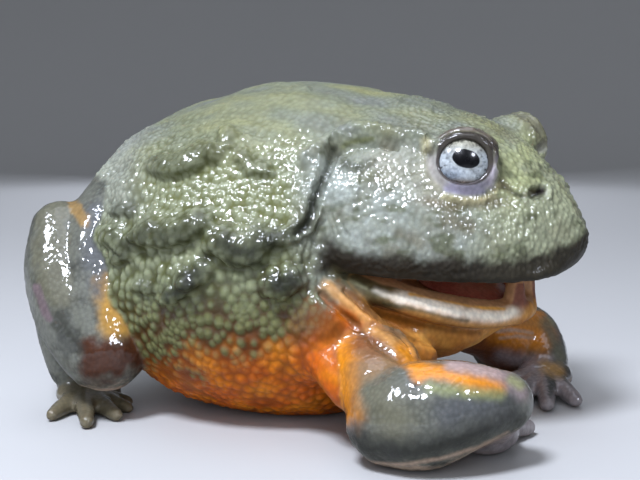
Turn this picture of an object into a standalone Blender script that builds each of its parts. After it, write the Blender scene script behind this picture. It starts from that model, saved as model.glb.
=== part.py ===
"""African bullfrog, an adult male, sitting on its belly and forearms with its mouth a little open.

A still, life-size model. +X is forward, towards the snout, +Y is the frog's left and +Z is up.
The sizes below are in millimetres, measured from the floor and from a middle plane near the sacrum,
and the finished model is moved so that the origin is at the bottom centre of its box.
"""

import math

import bmesh
import bpy
import numpy as np
from mathutils import Euler, Matrix, Vector

MM = 0.001
SIDES = {"right": -1, "left": 1}

# Clearance kept between neighbouring pieces
GAP = 0.3
# Points closer than this, in metres, are one point
WELD = 1e-6
# The head group leans a little to the frog's right, about a line along X at this height
HEAD_LEAN = math.radians(5.0)
HEAD_LEAN_Z = 45.0

# How each kind of piece is softened: its even mesh size, smoothing rounds and triangles left
SOFT = {
    "torso": (1.2, 5, 2300),
    "head": (0.8, 4, 2000),
    "throat": (1.2, 5, 620),
    "limb": (1.2, 3, 330),
    "hand": (0.7, 4, 560),
    "foot": (0.7, 3, 620),
}
SMOOTHING = 0.5
# Rows along each loft and points around it
LOFT_STEPS = {
    "torso": (60, 72),
    "head": (60, 72),
    "palate": (12, 24),
    "lower_jaw": (20, 32),
    "jaw_floor": (14, 26),
    "throat": (36, 48),
}
# Rows along each kind of tube, and how finely it is rounded
LIMB_STEPS, WRIST_STEPS = (14, 5), (6, 3)
DIGIT_STEPS, GULAR_STEPS, FANG_STEPS = (8, 2), (12, 2), (4, 1)
LID_STEPS, LIP_STEPS = (16, 3), (40, 3)
# Points around each kind of ball
BODY_BALL, EYE_BALL, TONGUE_BALL, SPADE_BALL, NOSTRIL_BALL = 32, 22, 16, 16, 10

# A loft's stations are x, top, bottom, half width and the height of the widest point.
# Its first and last stations are the closed ends.
TORSO = (
    (-65.0, 57.0, 57.0, 0.0, 57.0),
    (-63.0, 66.5, 44.0, 13.0, 55.0),
    (-57.5, 73.5, 28.0, 26.0, 49.5),
    (-48.0, 77.8, 12.0, 38.5, 43.0),
    (-32.0, 83.4, 1.2, 48.5, 39.0),
    (-10.0, 88.3, -1.8, 52.5, 38.0),
    (8.0, 87.6, -1.2, 49.0, 40.0),
    (18.0, 85.6, 2.0, 42.5, 43.0),
    (25.0, 80.0, 8.0, 33.5, 44.5),
    (30.0, 70.0, 19.0, 22.5, 44.5),
    (32.5, 44.5, 44.5, 0.0, 44.5),
)
TORSO_SQUARE = (2.0, 2.35)

HEAD = (
    (2.0, 62.0, 62.0, 0.0, 62.0),
    (6.0, 78.0, 48.0, 26.0, 56.0),
    (14.0, 85.0, 46.2, 37.5, 53.0),
    (24.0, 84.8, 44.9, 40.0, 51.0),
    (36.0, 81.8, 43.6, 37.5, 49.5),
    (46.0, 78.8, 42.6, 33.2, 48.5),
    (55.0, 74.3, 41.6, 27.6, 47.5),
    (63.0, 67.5, 40.9, 20.2, 47.0),
    (69.0, 60.5, 41.2, 11.5, 47.0),
    (73.0, 54.5, 44.4, 4.8, 48.4),
    (74.6, 49.5, 49.5, 0.0, 49.5),
)
HEAD_SQUARE = (1.9, 3.4)

PALATE = (
    (24.0, 45.0, 45.0, 0.0, 45.0),
    (27.0, 52.0, 34.0, 26.0, 45.0),
    (38.0, 51.5, 32.0, 30.5, 44.0),
    (50.0, 49.5, 31.0, 24.5, 43.0),
    (58.0, 48.0, 30.0, 17.5, 41.0),
    (64.5, 46.0, 32.0, 9.0, 40.0),
    (67.0, 40.0, 40.0, 0.0, 40.0),
)

JAW = (
    (9.0, 43.5, 43.5, 0.0, 43.5),
    (13.0, 48.0, 38.5, 20.0, 43.5),
    (22.0, 46.8, 36.4, 35.5, 41.8),
    (33.0, 43.0, 32.8, 34.5, 38.4),
    (43.0, 39.0, 29.0, 29.3, 34.6),
    (51.0, 35.4, 26.2, 21.8, 31.4),
    (56.0, 33.4, 25.4, 13.6, 29.8),
    (59.5, 32.9, 26.2, 6.6, 29.5),
    (60.8, 29.6, 29.6, 0.0, 29.6),
)
JAW_SQUARE = (2.8, 2.2)

# What is hollowed out of the lower jaw and, above, of the palate
JAW_FLOOR = (
    (24.0, 47.0, 47.0, 0.0, 47.0),
    (27.0, 62.0, 40.0, 25.0, 47.0),
    (36.0, 62.0, 36.0, 29.0, 45.0),
    (44.0, 62.0, 32.4, 23.5, 43.0),
    (50.5, 62.0, 29.6, 15.5, 41.0),
    (54.5, 62.0, 28.8, 7.5, 39.0),
    (56.0, 42.0, 42.0, 0.0, 42.0),
)
HOLLOW_SQUARE = (2.4, 2.2)

THROAT = (
    (12.0, 34.0, 34.0, 0.0, 34.0),
    (16.0, 41.0, 20.0, 24.0, 33.0),
    (26.0, 42.0, 15.5, 33.0, 32.0),
    (36.0, 38.0, 16.5, 30.0, 29.0),
    (44.0, 34.5, 19.0, 23.5, 28.0),
    (50.5, 31.5, 21.5, 15.5, 27.2),
    (55.0, 29.5, 24.2, 7.5, 27.0),
    (56.5, 27.0, 27.0, 0.0, 27.0),
)

# Points on the head are x, distance out from the middle plane and z
EYE = (49.0, 18.9, 69.4)
EYE_RADIUS = 7.4
EYE_AXIS = (0.40, 0.90, 0.18)
EYE_FORWARD = 1.0
LID_SIZE = (8.5, 8.7, 8.7)
LID_ROOT = (43.0, 14.5, 69.2)
LID_ROOT_SIZE = (11.5, 8.0, 7.5)
LID_OPENING = (6.6, 6.0, 6.0)
LID_OPENING_FORWARD = 9.0

# Each lid's rows are the angle round the eye from the front, over the top, in degrees,
# then the distance from the line of sight, the place along it and the radius
UPPER_LID = (
    (-32.0, 7.4, 4.4, 1.3),
    (5.0, 7.2, 5.0, 1.8),
    (50.0, 7.1, 5.2, 1.9),
    (95.0, 7.1, 5.2, 1.8),
    (140.0, 7.3, 4.9, 1.5),
    (170.0, 7.5, 4.5, 1.1),
)
LOWER_LID = (
    (180.0, 7.3, 4.7, 0.9),
    (215.0, 7.2, 4.9, 1.1),
    (265.0, 7.1, 5.0, 1.3),
    (312.0, 7.2, 4.8, 1.2),
)
# The upper lip is a bead along the lower edge of the head
LIP_OUT = 0.92
LIP_RISE = 1.8
LIP_RADIUS = 1.6

NOSTRIL = (64.5, 11.2, 61.4)
NOSTRIL_SIZE = (2.0, 2.4, 1.5)
NOSTRIL_TURN = 0.5

TONGUE = (41.0, 0.0, 35.6)
TONGUE_SIZE = (14.5, 14.5, 3.6)
TONGUE_PITCH = math.radians(19.0)

# A limb's rows are x, distance out from the middle plane, z and radius.
# These are the pair of blunt tooth-like bumps at the front of the lower jaw, and a fold beside the throat.
FANG = (
    (56.6, 4.3, 28.5, 3.4),
    (57.0, 4.2, 34.0, 3.0),
    (57.3, 4.0, 37.8, 2.3),
)

GULAR_FOLD = (
    (16.0, 33.0, 46.0, 3.4),
    (26.0, 38.0, 37.5, 3.8),
    (35.0, 35.5, 29.0, 3.8),
    (42.0, 28.0, 22.5, 3.4),
)
VOCAL_SACS = (
    ((42.0, -10.0, 24.5), (10.0, 12.0, 6.4)),
    ((39.0, 12.0, 24.5), (10.0, 11.0, 6.0)),
)

# The breast swells forward on each side, behind the upper arm
BREAST = (17.0, 33.0, 28.0)
BREAST_SIZE = (13.5, 13.5, 15.0)

UPPER_ARM = (
    (27.0, 30.0, 22.0, 10.5),
    (36.0, 40.0, 18.5, 10.5),
    (42.0, 46.5, 13.0, 10.6),
)
FOREARM = {
    "right": (
        (44.0, 49.0, 11.2, 11.4),
        (50.5, 48.5, 12.6, 12.2),
        (58.5, 45.0, 14.8, 10.4),
        (65.5, 39.0, 15.2, 7.4),
    ),
    "left": (
        (37.5, 52.0, 11.6, 11.8),
        (43.5, 50.5, 11.6, 11.4),
        (49.0, 46.5, 9.8, 8.8),
        (52.5, 42.5, 7.6, 6.8),
    ),
}
# Palm centre, palm size, the hand's plan angle from outwards to forwards, and how widely it fans
HAND = {
    "right": ((58.5, 29.0, 5.2), (8.0, 8.5, 5.2), math.radians(203.0), 0.85),
    "left": ((53.8, 37.0, 4.8), (8.0, 8.5, 4.8), math.radians(171.0), 0.75),
}
FINGER_START = 5.0
FINGER_TAPER = (1.15, 1.02, 0.8)
KNUCKLE_RISE = 1.0
# How far along a finger or toe its middle joint is
DIGIT_MIDDLE = 0.5
# Each finger: fan angle, length and radius
FINGERS = (
    (math.radians(50.0), 13.5, 3.1),
    (math.radians(18.0), 15.5, 2.7),
    (math.radians(-12.0), 18.5, 2.7),
    (math.radians(-44.0), 14.5, 2.6),
)

THIGH = (
    (-45.0, 20.0, 52.0, 17.0),
    (-47.5, 31.0, 41.0, 16.5),
    (-44.0, 40.5, 27.0, 14.0),
    (-39.5, 45.5, 19.0, 11.2),
)
SHANK = (
    (-41.0, 46.0, 18.5, 10.6),
    (-49.0, 44.0, 27.5, 11.8),
    (-55.8, 41.0, 38.0, 11.0),
    (-59.5, 37.5, 47.5, 9.0),
)
TARSUS = (
    (-64.0, 33.0, 47.0, 7.0),
    (-66.5, 34.0, 34.0, 6.0),
    (-64.0, 35.5, 20.0, 5.4),
    (-59.8, 35.5, 9.6, 5.6),
)
FOOT = (-55.0, 35.5, 3.4)
FOOT_SIZE = (9.0, 7.5, 3.8)
FOOT_HEADING = math.radians(35.0)
TOE_START = 3.0
TOE_TAPER = (1.2, 1.0, 0.7)
# Each toe: plan angle from forwards to outwards, length and radius
TOES = (
    (math.radians(-14.0), 10.0, 2.3),
    (math.radians(8.0), 14.0, 2.3),
    (math.radians(29.0), 19.0, 2.5),
    (math.radians(50.0), 23.0, 2.6),
    (math.radians(78.0), 15.5, 2.5),
)
WEB_REACH = 0.52
WEB_HOLLOW = 0.2
WEB_HEIGHT = 0.9
WEB_THICKNESS = 1.4
WEB_STEPS = 6
# The digging spade on the inner edge of the sole
SPADE = (-51.5, 27.6, 2.6)
SPADE_SIZE = (5.6, 2.6, 2.6)
SPADE_TURN = 0.9

CAP_ANGLES = [math.radians(angle) for angle in (30, 58, 80)]
FLOOR_BLOCK = 400.0

SHOULDER_FOLD = (
    (20.0, 34.0, 68.0),
    (17.5, 39.5, 61.0),
    (15.5, 43.5, 52.0),
    (15.0, 45.5, 43.0),
    (18.0, 44.0, 35.0),
)
EAR_FOLD = (
    (43.0, 29.0, 70.5),
    (36.0, 31.0, 71.5),
    (29.0, 32.5, 71.5),
    (24.0, 33.0, 70.5),
    (20.0, 34.0, 67.5),
)
# Raised skin folds and lumps on both sides: rise, reach to each side, and a line through x, out, z
TORSO_FOLDS = (
    (2.6, 3.0, SHOULDER_FOLD),
    (2.6, 3.1, ((-20.0, 44.0, 65.6), (-10.5, 43.0, 68.6))),
    (2.4, 2.8, ((-7.5, 37.0, 75.6), (0.0, 39.5, 71.0))),
    (1.5, 2.4, ((-4.0, 43.0, 67.5), (-1.0, 43.2, 68.5))),
    (2.8, 3.5, ((-21.0, 49.4, 51.2), (-8.0, 50.6, 52.5))),
    (2.4, 3.5, ((0.0, 50.0, 49.0), (5.5, 49.0, 49.6))),
    (2.5, 3.8, ((-14.0, 51.5, 38.5), (-8.5, 51.7, 39.8))),
    (1.9, 3.2, ((12.5, 46.5, 40.0), (14.5, 46.0, 41.2))),
    (2.2, 3.2, ((-42.0, 40.0, 62.0), (-30.0, 43.5, 63.0))),
    (2.2, 3.5, ((-45.0, 41.0, 47.0), (-35.0, 46.0, 48.0))),
    (2.0, 3.5, ((-36.0, 46.0, 33.0), (-28.0, 48.5, 34.0))),
    (1.8, 3.0, ((-58.0, 22.0, 62.0), (-50.0, 31.0, 63.0))),
    (1.4, 2.3, ((-2.0, 22.0, 84.5), (12.0, 21.0, 84.0))),
    (1.5, 2.3, ((-30.0, 23.0, 81.5), (-14.0, 24.0, 84.0))),
    (1.5, 2.3, ((-52.0, 18.0, 74.5), (-38.0, 21.0, 79.0))),
    (1.1, 2.3, ((-20.0, 9.0, 87.4), (-6.0, 10.0, 87.8))),
    (1.1, 2.3, ((-45.0, 8.0, 79.5), (-32.0, 9.0, 83.5))),
)
HEAD_FOLDS = (
    (2.0, 2.2, EAR_FOLD),
    (1.5, 2.2, ((29.0, 35.5, 67.0), (25.0, 36.0, 66.0))),
    (0.9, 1.8, ((57.5, 19.0, 67.0), (62.0, 14.5, 64.5), (66.0, 9.5, 61.0))),
    (1.2, 1.6, ((31.0, 8.0, 82.5), (34.0, 8.0, 82.0))),
    (0.8, 1.8, ((58.0, 24.5, 60.0), (50.0, 30.0, 59.5), (42.0, 33.0, 60.5))),
)

COLOURS = {
    "skin": ((0.20, 0.22, 0.10), 0.35),
    "throat": ((0.62, 0.34, 0.06), 0.40),
    "limb": ((0.24, 0.23, 0.13), 0.35),
    "mouth": ((0.30, 0.08, 0.05), 0.30),
    "eye": ((0.60, 0.64, 0.58), 0.08),
}


def reset():
    for obj in list(bpy.data.objects):
        bpy.data.objects.remove(obj, do_unlink=True)


def collection(name):
    made = bpy.data.collections.new(name)
    bpy.context.scene.collection.children.link(made)
    return made


def material(name):
    colour, roughness = COLOURS[name]
    made = bpy.data.materials.new(name)
    made.use_nodes = True
    shader = made.node_tree.nodes["Principled BSDF"]
    shader.inputs["Base Color"].default_value = (*colour, 1.0)
    shader.inputs["Roughness"].default_value = roughness
    shader.inputs["Metallic"].default_value = 0.0
    return made


def add_mesh(name, bm):
    """A new object from a bmesh whose points are in millimetres."""
    bmesh.ops.scale(bm, vec=(MM, MM, MM), verts=bm.verts)
    bmesh.ops.recalc_face_normals(bm, faces=bm.faces)
    mesh = bpy.data.meshes.new(name)
    bm.to_mesh(mesh)
    bm.free()
    obj = bpy.data.objects.new(name, mesh)
    WORK.objects.link(obj)
    return obj


def evaluated_mesh(obj):
    bpy.context.view_layer.update()
    graph = bpy.context.evaluated_depsgraph_get()
    return bpy.data.meshes.new_from_object(obj.evaluated_get(graph))


def apply_modifiers(obj):
    mesh = evaluated_mesh(obj)
    obj.modifiers.clear()
    obj.data = mesh
    return obj


def spline_point(rows, place):
    """A point on the Catmull-Rom spline through rows. Its first and last rows only steer it."""
    i = min(int(place), len(rows) - 4)
    t = place - i
    a, b, c, d = rows[i : i + 4]
    return 0.5 * (2 * b + (c - a) * t + (2 * a - 5 * b + 4 * c - d) * t**2 + (3 * b - a - 3 * c + d) * t**3)


def smooth_path(rows, count):
    """Points along a smooth curve through the rows."""
    rows = np.asarray(rows, float)
    steered = np.vstack([2 * rows[0] - rows[1], rows, 2 * rows[-1] - rows[-2]])
    return np.array([spline_point(steered, place) for place in np.linspace(0, len(rows) - 1, count)])


def loft_rows(stations, count):
    """Rows of a loft between its two closed ends, which turn round smoothly through the axis.

    Each row is x, the rise of its top and its bottom from the widest point, half width and widest height.
    """
    rows = np.asarray(stations, float)
    rows[:, 1] -= rows[:, 4]
    rows[:, 2] -= rows[:, 4]
    through_axis = np.array([1, -1, -1, -1, 1])
    steered = np.vstack([rows[1] * through_axis, rows, rows[-2] * through_axis])
    spans = len(rows) - 1
    return np.array([spline_point(steered, spans * k / count) for k in range(1, count)])


def section_point(row, angle, square):
    """A point of a loft's section. The angle runs from the top, out to the frog's left and down."""
    x, top, bottom, half, widest = row
    side, rise = math.sin(angle), math.cos(angle)
    reach, power = (top, 2.0 / square[0]) if rise >= 0 else (-bottom, 2.0 / square[1])
    y = half * math.copysign(abs(side) ** power, side)
    z = widest + reach * math.copysign(abs(rise) ** power, rise)
    return x, y, z


def loft(name, stations, square=(2.0, 2.0)):
    """A closed body of superelliptic sections through the stations, with a point at each end.

    The square values shape the upper and lower halves: 2 is round, and more is boxier.
    """
    rings, around = LOFT_STEPS[name]
    bm = bmesh.new()
    first = bm.verts.new((stations[0][0], 0.0, stations[0][4]))
    last = bm.verts.new((stations[-1][0], 0.0, stations[-1][4]))
    angles = [2 * math.pi * k / around for k in range(around)]
    loops = []
    for row in loft_rows(stations, rings):
        loops.append([bm.verts.new(section_point(row, angle, square)) for angle in angles])
    for k in range(around):
        after = (k + 1) % around
        bm.faces.new((first, loops[0][after], loops[0][k]))
        bm.faces.new((last, loops[-1][k], loops[-1][after]))
        for near, far in zip(loops, loops[1:]):
            bm.faces.new((near[k], near[after], far[after], far[k]))
    return add_mesh(name, bm)


def ball(name, centre, size, turn=Euler(), segments=BODY_BALL):
    """An ellipsoid with the given half sizes, turned about its centre."""
    bm = bmesh.new()
    bmesh.ops.create_uvsphere(bm, u_segments=segments, v_segments=segments // 2, radius=1.0)
    place = Matrix.LocRotScale(Vector(centre), turn, Vector(size))
    bmesh.ops.transform(bm, matrix=place, verts=bm.verts)
    return add_mesh(name, bm)


def round_cap(end, inner):
    """Rows that close a tube with a round cap beyond its end row."""
    centre, radius = Vector(end[:3]), end[3]
    outward = (centre - Vector(inner[:3])).normalized()
    rows = []
    for angle in CAP_ANGLES:
        rows.append((*(centre + outward * radius * math.sin(angle)), radius * math.cos(angle)))
    return rows


def tube(name, rows, steps):
    """A round limb through rows of x, y, z and radius, with a round cap beyond each end."""
    count, resolution = steps
    path = smooth_path(rows, count)
    points = round_cap(path[0], path[1])[::-1]
    points += [tuple(row) for row in path]
    points += round_cap(path[-1], path[-2])
    curve = bpy.data.curves.new(name, "CURVE")
    curve.dimensions = "3D"
    curve.bevel_depth = MM
    curve.bevel_resolution = resolution
    curve.use_fill_caps = True
    spline = curve.splines.new("POLY")
    spline.points.add(len(points) - 1)
    for point, (x, y, z, radius) in zip(spline.points, points):
        point.co = (x * MM, y * MM, z * MM, 1.0)
        point.radius = radius
    obj = bpy.data.objects.new(name, curve)
    WORK.objects.link(obj)
    mesh = evaluated_mesh(obj)
    bpy.data.objects.remove(obj)
    bm = bmesh.new()
    bm.from_mesh(mesh)
    bmesh.ops.remove_doubles(bm, verts=bm.verts, dist=WELD)
    bmesh.ops.scale(bm, vec=(1 / MM, 1 / MM, 1 / MM), verts=bm.verts)
    return add_mesh(name, bm)


def on_side(rows, side):
    """Limb rows given outwards, put on one side of the middle plane."""
    return [(x, side * out, z, radius) for x, out, z, radius in rows]


def fuse(name, pieces):
    """One body from overlapping closed pieces, by one Boolean union on their collection."""
    body = pieces[0]
    body.name = name
    others = collection(name + "_pieces")
    for piece in pieces[1:]:
        WORK.objects.unlink(piece)
        others.objects.link(piece)
    union = body.modifiers.new("Union", "BOOLEAN")
    union.operation = "UNION"
    union.operand_type = "COLLECTION"
    union.collection = others
    union.solver = "EXACT"
    apply_modifiers(body)
    for piece in pieces[1:]:
        bpy.data.objects.remove(piece)
    bpy.data.collections.remove(others)
    return body


def soften(obj, kind, folds=()):
    """Skin-like finish: an even mesh, smoothed so that pieces flow together, folded, then thinned out."""
    voxel, rounds, triangles = SOFT[kind]
    remesh = obj.modifiers.new("Even", "REMESH")
    remesh.mode = "VOXEL"
    remesh.voxel_size = voxel * MM
    smooth = obj.modifiers.new("Smooth", "SMOOTH")
    smooth.factor = SMOOTHING
    smooth.iterations = rounds
    apply_modifiers(obj)
    raise_folds(obj, folds)
    # Each even face is two triangles
    thin = obj.modifiers.new("Thin", "DECIMATE")
    thin.ratio = min(1.0, triangles / (2 * len(obj.data.polygons)))
    return apply_modifiers(obj)


def line_distance(points, line):
    """Distance from each point to a line of straight pieces."""
    nearest = np.full(len(points), np.inf)
    line = np.asarray(line, float)
    for start, end in zip(line, line[1:]):
        span = end - start
        share = np.clip((points - start) @ span / (span @ span), 0.0, 1.0)
        nearest = np.minimum(nearest, np.linalg.norm(points - start - share[:, None] * span, axis=1))
    return nearest


def raise_folds(obj, folds):
    """Lifts the skin along its normals near each fold line, alike on both sides."""
    mesh = obj.data
    points = np.empty(len(mesh.vertices) * 3, np.float32)
    mesh.vertices.foreach_get("co", points)
    points = points.reshape(-1, 3).astype(float) / MM
    normals = np.array([vert.normal for vert in mesh.vertices], float)
    one_side = points.copy()
    one_side[:, 1] = np.abs(points[:, 1])
    rise = np.zeros(len(points))
    for height, reach, line in folds:
        rise += height * np.exp(-((line_distance(one_side, line) / reach) ** 2))
    points += normals * rise[:, None]
    mesh.vertices.foreach_set("co", (points * MM).astype(np.float32).ravel())
    mesh.update()


def keep_largest(obj):
    """Drops loose scraps and sealed hollows, keeping the largest closed surface."""
    bm = bmesh.new()
    bm.from_mesh(obj.data)
    left = set(bm.verts)
    groups = []
    while left:
        todo = [left.pop()]
        group = set(todo)
        while todo:
            for edge in todo.pop().link_edges:
                for vert in edge.verts:
                    if vert in left:
                        left.discard(vert)
                        group.add(vert)
                        todo.append(vert)
        groups.append(group)
    groups.sort(key=len)
    for group in groups[:-1]:
        bmesh.ops.delete(bm, geom=list(group), context="VERTS")
    bmesh.ops.recalc_face_normals(bm, faces=bm.faces)
    bm.to_mesh(obj.data)
    bm.free()
    return obj


def hide(obj):
    obj.hide_render = True
    obj.display_type = "WIRE"
    return obj


def grown(obj):
    """A cutter that is a body made larger by the gap on every side."""
    made = obj.copy()
    made.data = obj.data.copy()
    made.name = obj.name + "_cutter"
    CUTTERS.objects.link(made)
    swell = made.modifiers.new("Swell", "DISPLACE")
    swell.strength = GAP * MM
    swell.mid_level = 0.0
    return hide(apply_modifiers(made))


def cutter(obj):
    WORK.objects.unlink(obj)
    CUTTERS.objects.link(obj)
    return hide(obj)


def cut(obj, *cutters):
    for tool in cutters:
        difference = obj.modifiers.new("Cut", "BOOLEAN")
        difference.operation = "DIFFERENCE"
        difference.object = tool
        difference.solver = "EXACT"
        apply_modifiers(obj)
    return keep_largest(obj)


def lean(obj):
    """Leans a piece of the head group to the frog's right."""
    pivot = Matrix.Translation((0, 0, HEAD_LEAN_Z * MM))
    obj.data.transform(pivot @ Matrix.Rotation(HEAD_LEAN, 4, "X") @ pivot.inverted())
    obj.data.update()
    return obj


def make_torso():
    pieces = [loft("torso", TORSO, TORSO_SQUARE)]
    x, out, z = BREAST
    for side in SIDES.values():
        pieces.append(ball("breast", (x, side * out, z), BREAST_SIZE))
    return soften(fuse("torso", pieces), "torso", TORSO_FOLDS)


def make_head():
    pieces = [loft("head", HEAD, HEAD_SQUARE), upper_lip()]
    for side in SIDES.values():
        for (x, out, z), size in ((EYE, LID_SIZE), (LID_ROOT, LID_ROOT_SIZE)):
            pieces.append(ball("lid_root", (x, side * out, z), size))
        pieces += [lid("upper_lid", UPPER_LID, side), lid("lower_lid", LOWER_LID, side)]
    return lean(soften(fuse("head", pieces), "head", HEAD_FOLDS))


def eye_axis(side):
    x, out, z = EYE_AXIS
    return Vector((x, side * out, z)).normalized()


def eye_point(side, forward):
    """A point on the line of sight, forward of the lid's centre."""
    x, out, z = EYE
    return Vector((x, side * out, z)) + eye_axis(side) * forward


def eye_turn(side):
    """The rotation that takes +Z to the way an eye looks."""
    return eye_axis(side).to_track_quat("Z", "Y").to_euler()


def lid(name, rows, side):
    """A lid's raised rim round the eye."""
    sight = eye_axis(side)
    up = (Vector((0.0, 0.0, 1.0)) - sight * sight.z).normalized()
    front = up.cross(sight) * -side
    points = []
    for angle, out, forward, radius in rows:
        turned = math.radians(angle)
        place = eye_point(side, forward) + (front * math.cos(turned) + up * math.sin(turned)) * out
        points.append((*place, radius))
    return tube(name, points, LID_STEPS)


def upper_lip():
    """A bead that runs round the snout from one corner of the mouth to the other."""
    rows = []
    for x, _, bottom, half, _ in HEAD[3:-2]:
        rows.append((x, LIP_OUT * half, bottom + LIP_RISE, LIP_RADIUS))
    return tube("upper_lip", on_side(rows, 1) + on_side(rows[::-1], -1), LIP_STEPS)


def eyeball(name, side, radius):
    return lean(ball(name, eye_point(side, EYE_FORWARD), (radius,) * 3, eye_turn(side), EYE_BALL))


def face_cutters(side):
    """What is taken out of the head on one side: the eye's socket, the lids' opening and the nostril."""
    opening = ball("lid_opening", eye_point(side, LID_OPENING_FORWARD), LID_OPENING, eye_turn(side), EYE_BALL)
    x, out, z = NOSTRIL
    turn = Euler((0.0, NOSTRIL_TURN, side * NOSTRIL_TURN))
    nostril = ball("nostril", (x, side * out, z), NOSTRIL_SIZE, turn, NOSTRIL_BALL)
    return [cutter(eyeball("socket", side, EYE_RADIUS + GAP)), cutter(lean(opening)), cutter(lean(nostril))]


def make_jaw():
    pieces = [loft("lower_jaw", JAW, JAW_SQUARE)]
    for side in SIDES.values():
        pieces.append(tube("fang", on_side(FANG, side), FANG_STEPS))
    return lean(fuse("lower_jaw", pieces))


def make_throat():
    pieces = [loft("throat", THROAT)]
    for side in SIDES.values():
        pieces.append(tube("gular_fold", on_side(GULAR_FOLD, side), GULAR_STEPS))
    for centre, size in VOCAL_SACS:
        pieces.append(ball("vocal_sac", centre, size))
    return lean(soften(fuse("throat", pieces), "throat"))


def make_tongue():
    turn = Euler((0.0, TONGUE_PITCH, 0.0))
    return lean(ball("tongue", TONGUE, TONGUE_SIZE, turn, TONGUE_BALL))


def limb(name, rows, side):
    """A plain length of an arm or leg."""
    return soften(tube(name, on_side(rows, side), LIMB_STEPS), "limb")


def digit(name, palm, way, start, length, radii, heights):
    """A finger or toe that runs from the palm or sole, straight along the floor, to its tip."""
    rows = []
    for share, radius, height in zip((0.0, DIGIT_MIDDLE, 1.0), radii, heights):
        point = palm + way * (start + share * length)
        rows.append((point.x, point.y, height, radius))
    return tube(name, rows, DIGIT_STEPS)


def make_hand(side_name):
    side = SIDES[side_name]
    (x, out, z), size, heading, spread = HAND[side_name]
    palm = Vector((x, side * out, z))
    wrist_x, wrist_out, wrist_z, wrist_radius = FOREARM[side_name][-1]
    wrist = ((wrist_x, wrist_out, wrist_z, wrist_radius), (x, out, z, size[2]))
    name = "hand_" + side_name
    pieces = [ball(name, palm, size), tube("wrist", on_side(wrist, side), WRIST_STEPS)]
    for fan, length, radius in FINGERS:
        angle = heading + fan * spread
        way = Vector((math.sin(angle), side * math.cos(angle), 0.0))
        radii = [radius * share for share in FINGER_TAPER]
        heights = (z, radii[1] + KNUCKLE_RISE, radii[2])
        pieces.append(digit("finger", palm, way, FINGER_START, length, radii, heights))
    return soften(fuse(name, pieces), "hand")


def make_foot(side_name):
    side = SIDES[side_name]
    x, out, z = FOOT
    sole = Vector((x, side * out, z))
    name = "foot_" + side_name
    pieces = [ball(name, sole, FOOT_SIZE, Euler((0.0, 0.0, side * FOOT_HEADING)))]
    toes = []
    for angle, length, radius in TOES:
        way = Vector((math.cos(angle), side * math.sin(angle), 0.0))
        radii = [radius * share for share in TOE_TAPER]
        heights = (z, radii[1], radii[2])
        pieces.append(digit("toe", sole, way, TOE_START, length, radii, heights))
        toes.append((way, length))
    for first, second in zip(toes, toes[1:]):
        pieces.append(web(sole, first, second))
    x, out, z = SPADE
    turn = Euler((0.0, 0.0, side * SPADE_TURN))
    pieces.append(ball("spade", (x, side * out, z), SPADE_SIZE, turn, SPADE_BALL))
    return soften(fuse(name, pieces), "foot")


def web(sole, first, second):
    """A thin web between two toes, with a hollowed free edge."""
    edge = [sole]
    for k in range(WEB_STEPS + 1):
        share = k / WEB_STEPS
        way = (first[0] * (1 - share) + second[0] * share).normalized()
        length = first[1] * (1 - share) + second[1] * share
        hollow = 1.0 - WEB_HOLLOW * math.sin(math.pi * share)
        edge.append(sole + way * (TOE_START + WEB_REACH * length * hollow))
    bm = bmesh.new()
    sheet = bm.faces.new([bm.verts.new((point.x, point.y, WEB_HEIGHT)) for point in edge])
    raised = bmesh.ops.extrude_face_region(bm, geom=[sheet])
    top = [item for item in raised["geom"] if isinstance(item, bmesh.types.BMVert)]
    bmesh.ops.translate(bm, vec=(0.0, 0.0, WEB_THICKNESS), verts=top)
    bmesh.ops.triangulate(bm, faces=bm.faces)
    return add_mesh("web", bm)


def floor_cutter():
    """A block under the floor, so that what the frog rests on is flat there."""
    bm = bmesh.new()
    bmesh.ops.create_cube(bm, size=FLOOR_BLOCK)
    bmesh.ops.translate(bm, vec=(0.0, 0.0, -FLOOR_BLOCK / 2), verts=bm.verts)
    return cutter(add_mesh("floor_block", bm))


def finish(obj, slot):
    WORK.objects.unlink(obj)
    PARTS.objects.link(obj)
    obj.data.materials.clear()
    obj.data.materials.append(slot)
    obj.data.shade_smooth()


def make_head_group(torso_cutter, slots):
    """Finishes the head, jaw, throat, tongue and eyes. Returns cutters of the jaw and the throat."""
    jaw = make_jaw()
    jaw_cutter = grown(jaw)
    cut(jaw, torso_cutter, cutter(lean(loft("jaw_floor", JAW_FLOOR, HOLLOW_SQUARE))))
    tongue = cut(make_tongue(), grown(jaw), torso_cutter)
    head = make_head()
    openings = [cutter(lean(loft("palate", PALATE, HOLLOW_SQUARE)))]
    for side_name, side in SIDES.items():
        finish(eyeball("eye_" + side_name, side, EYE_RADIUS), slots["eye"])
        openings += face_cutters(side)
    cut(head, torso_cutter, jaw_cutter, *openings)
    throat = make_throat()
    throat_cutter = grown(throat)
    cut(throat, torso_cutter, jaw_cutter)
    finish(head, slots["skin"])
    finish(jaw, slots["throat"])
    finish(throat, slots["throat"])
    finish(tongue, slots["mouth"])
    return jaw_cutter, throat_cutter


def make_arm(side_name, body_cutters, floor, slot):
    side = SIDES[side_name]
    upper = limb("upper_arm_" + side_name, UPPER_ARM, side)
    upper_cutter = grown(upper)
    cut(upper, *body_cutters)
    fore = limb("forearm_" + side_name, FOREARM[side_name], side)
    fore_cutter = grown(fore)
    cut(fore, upper_cutter, *body_cutters, floor)
    hand = cut(make_hand(side_name), fore_cutter, floor)
    for piece in (upper, fore, hand):
        finish(piece, slot)


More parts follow.
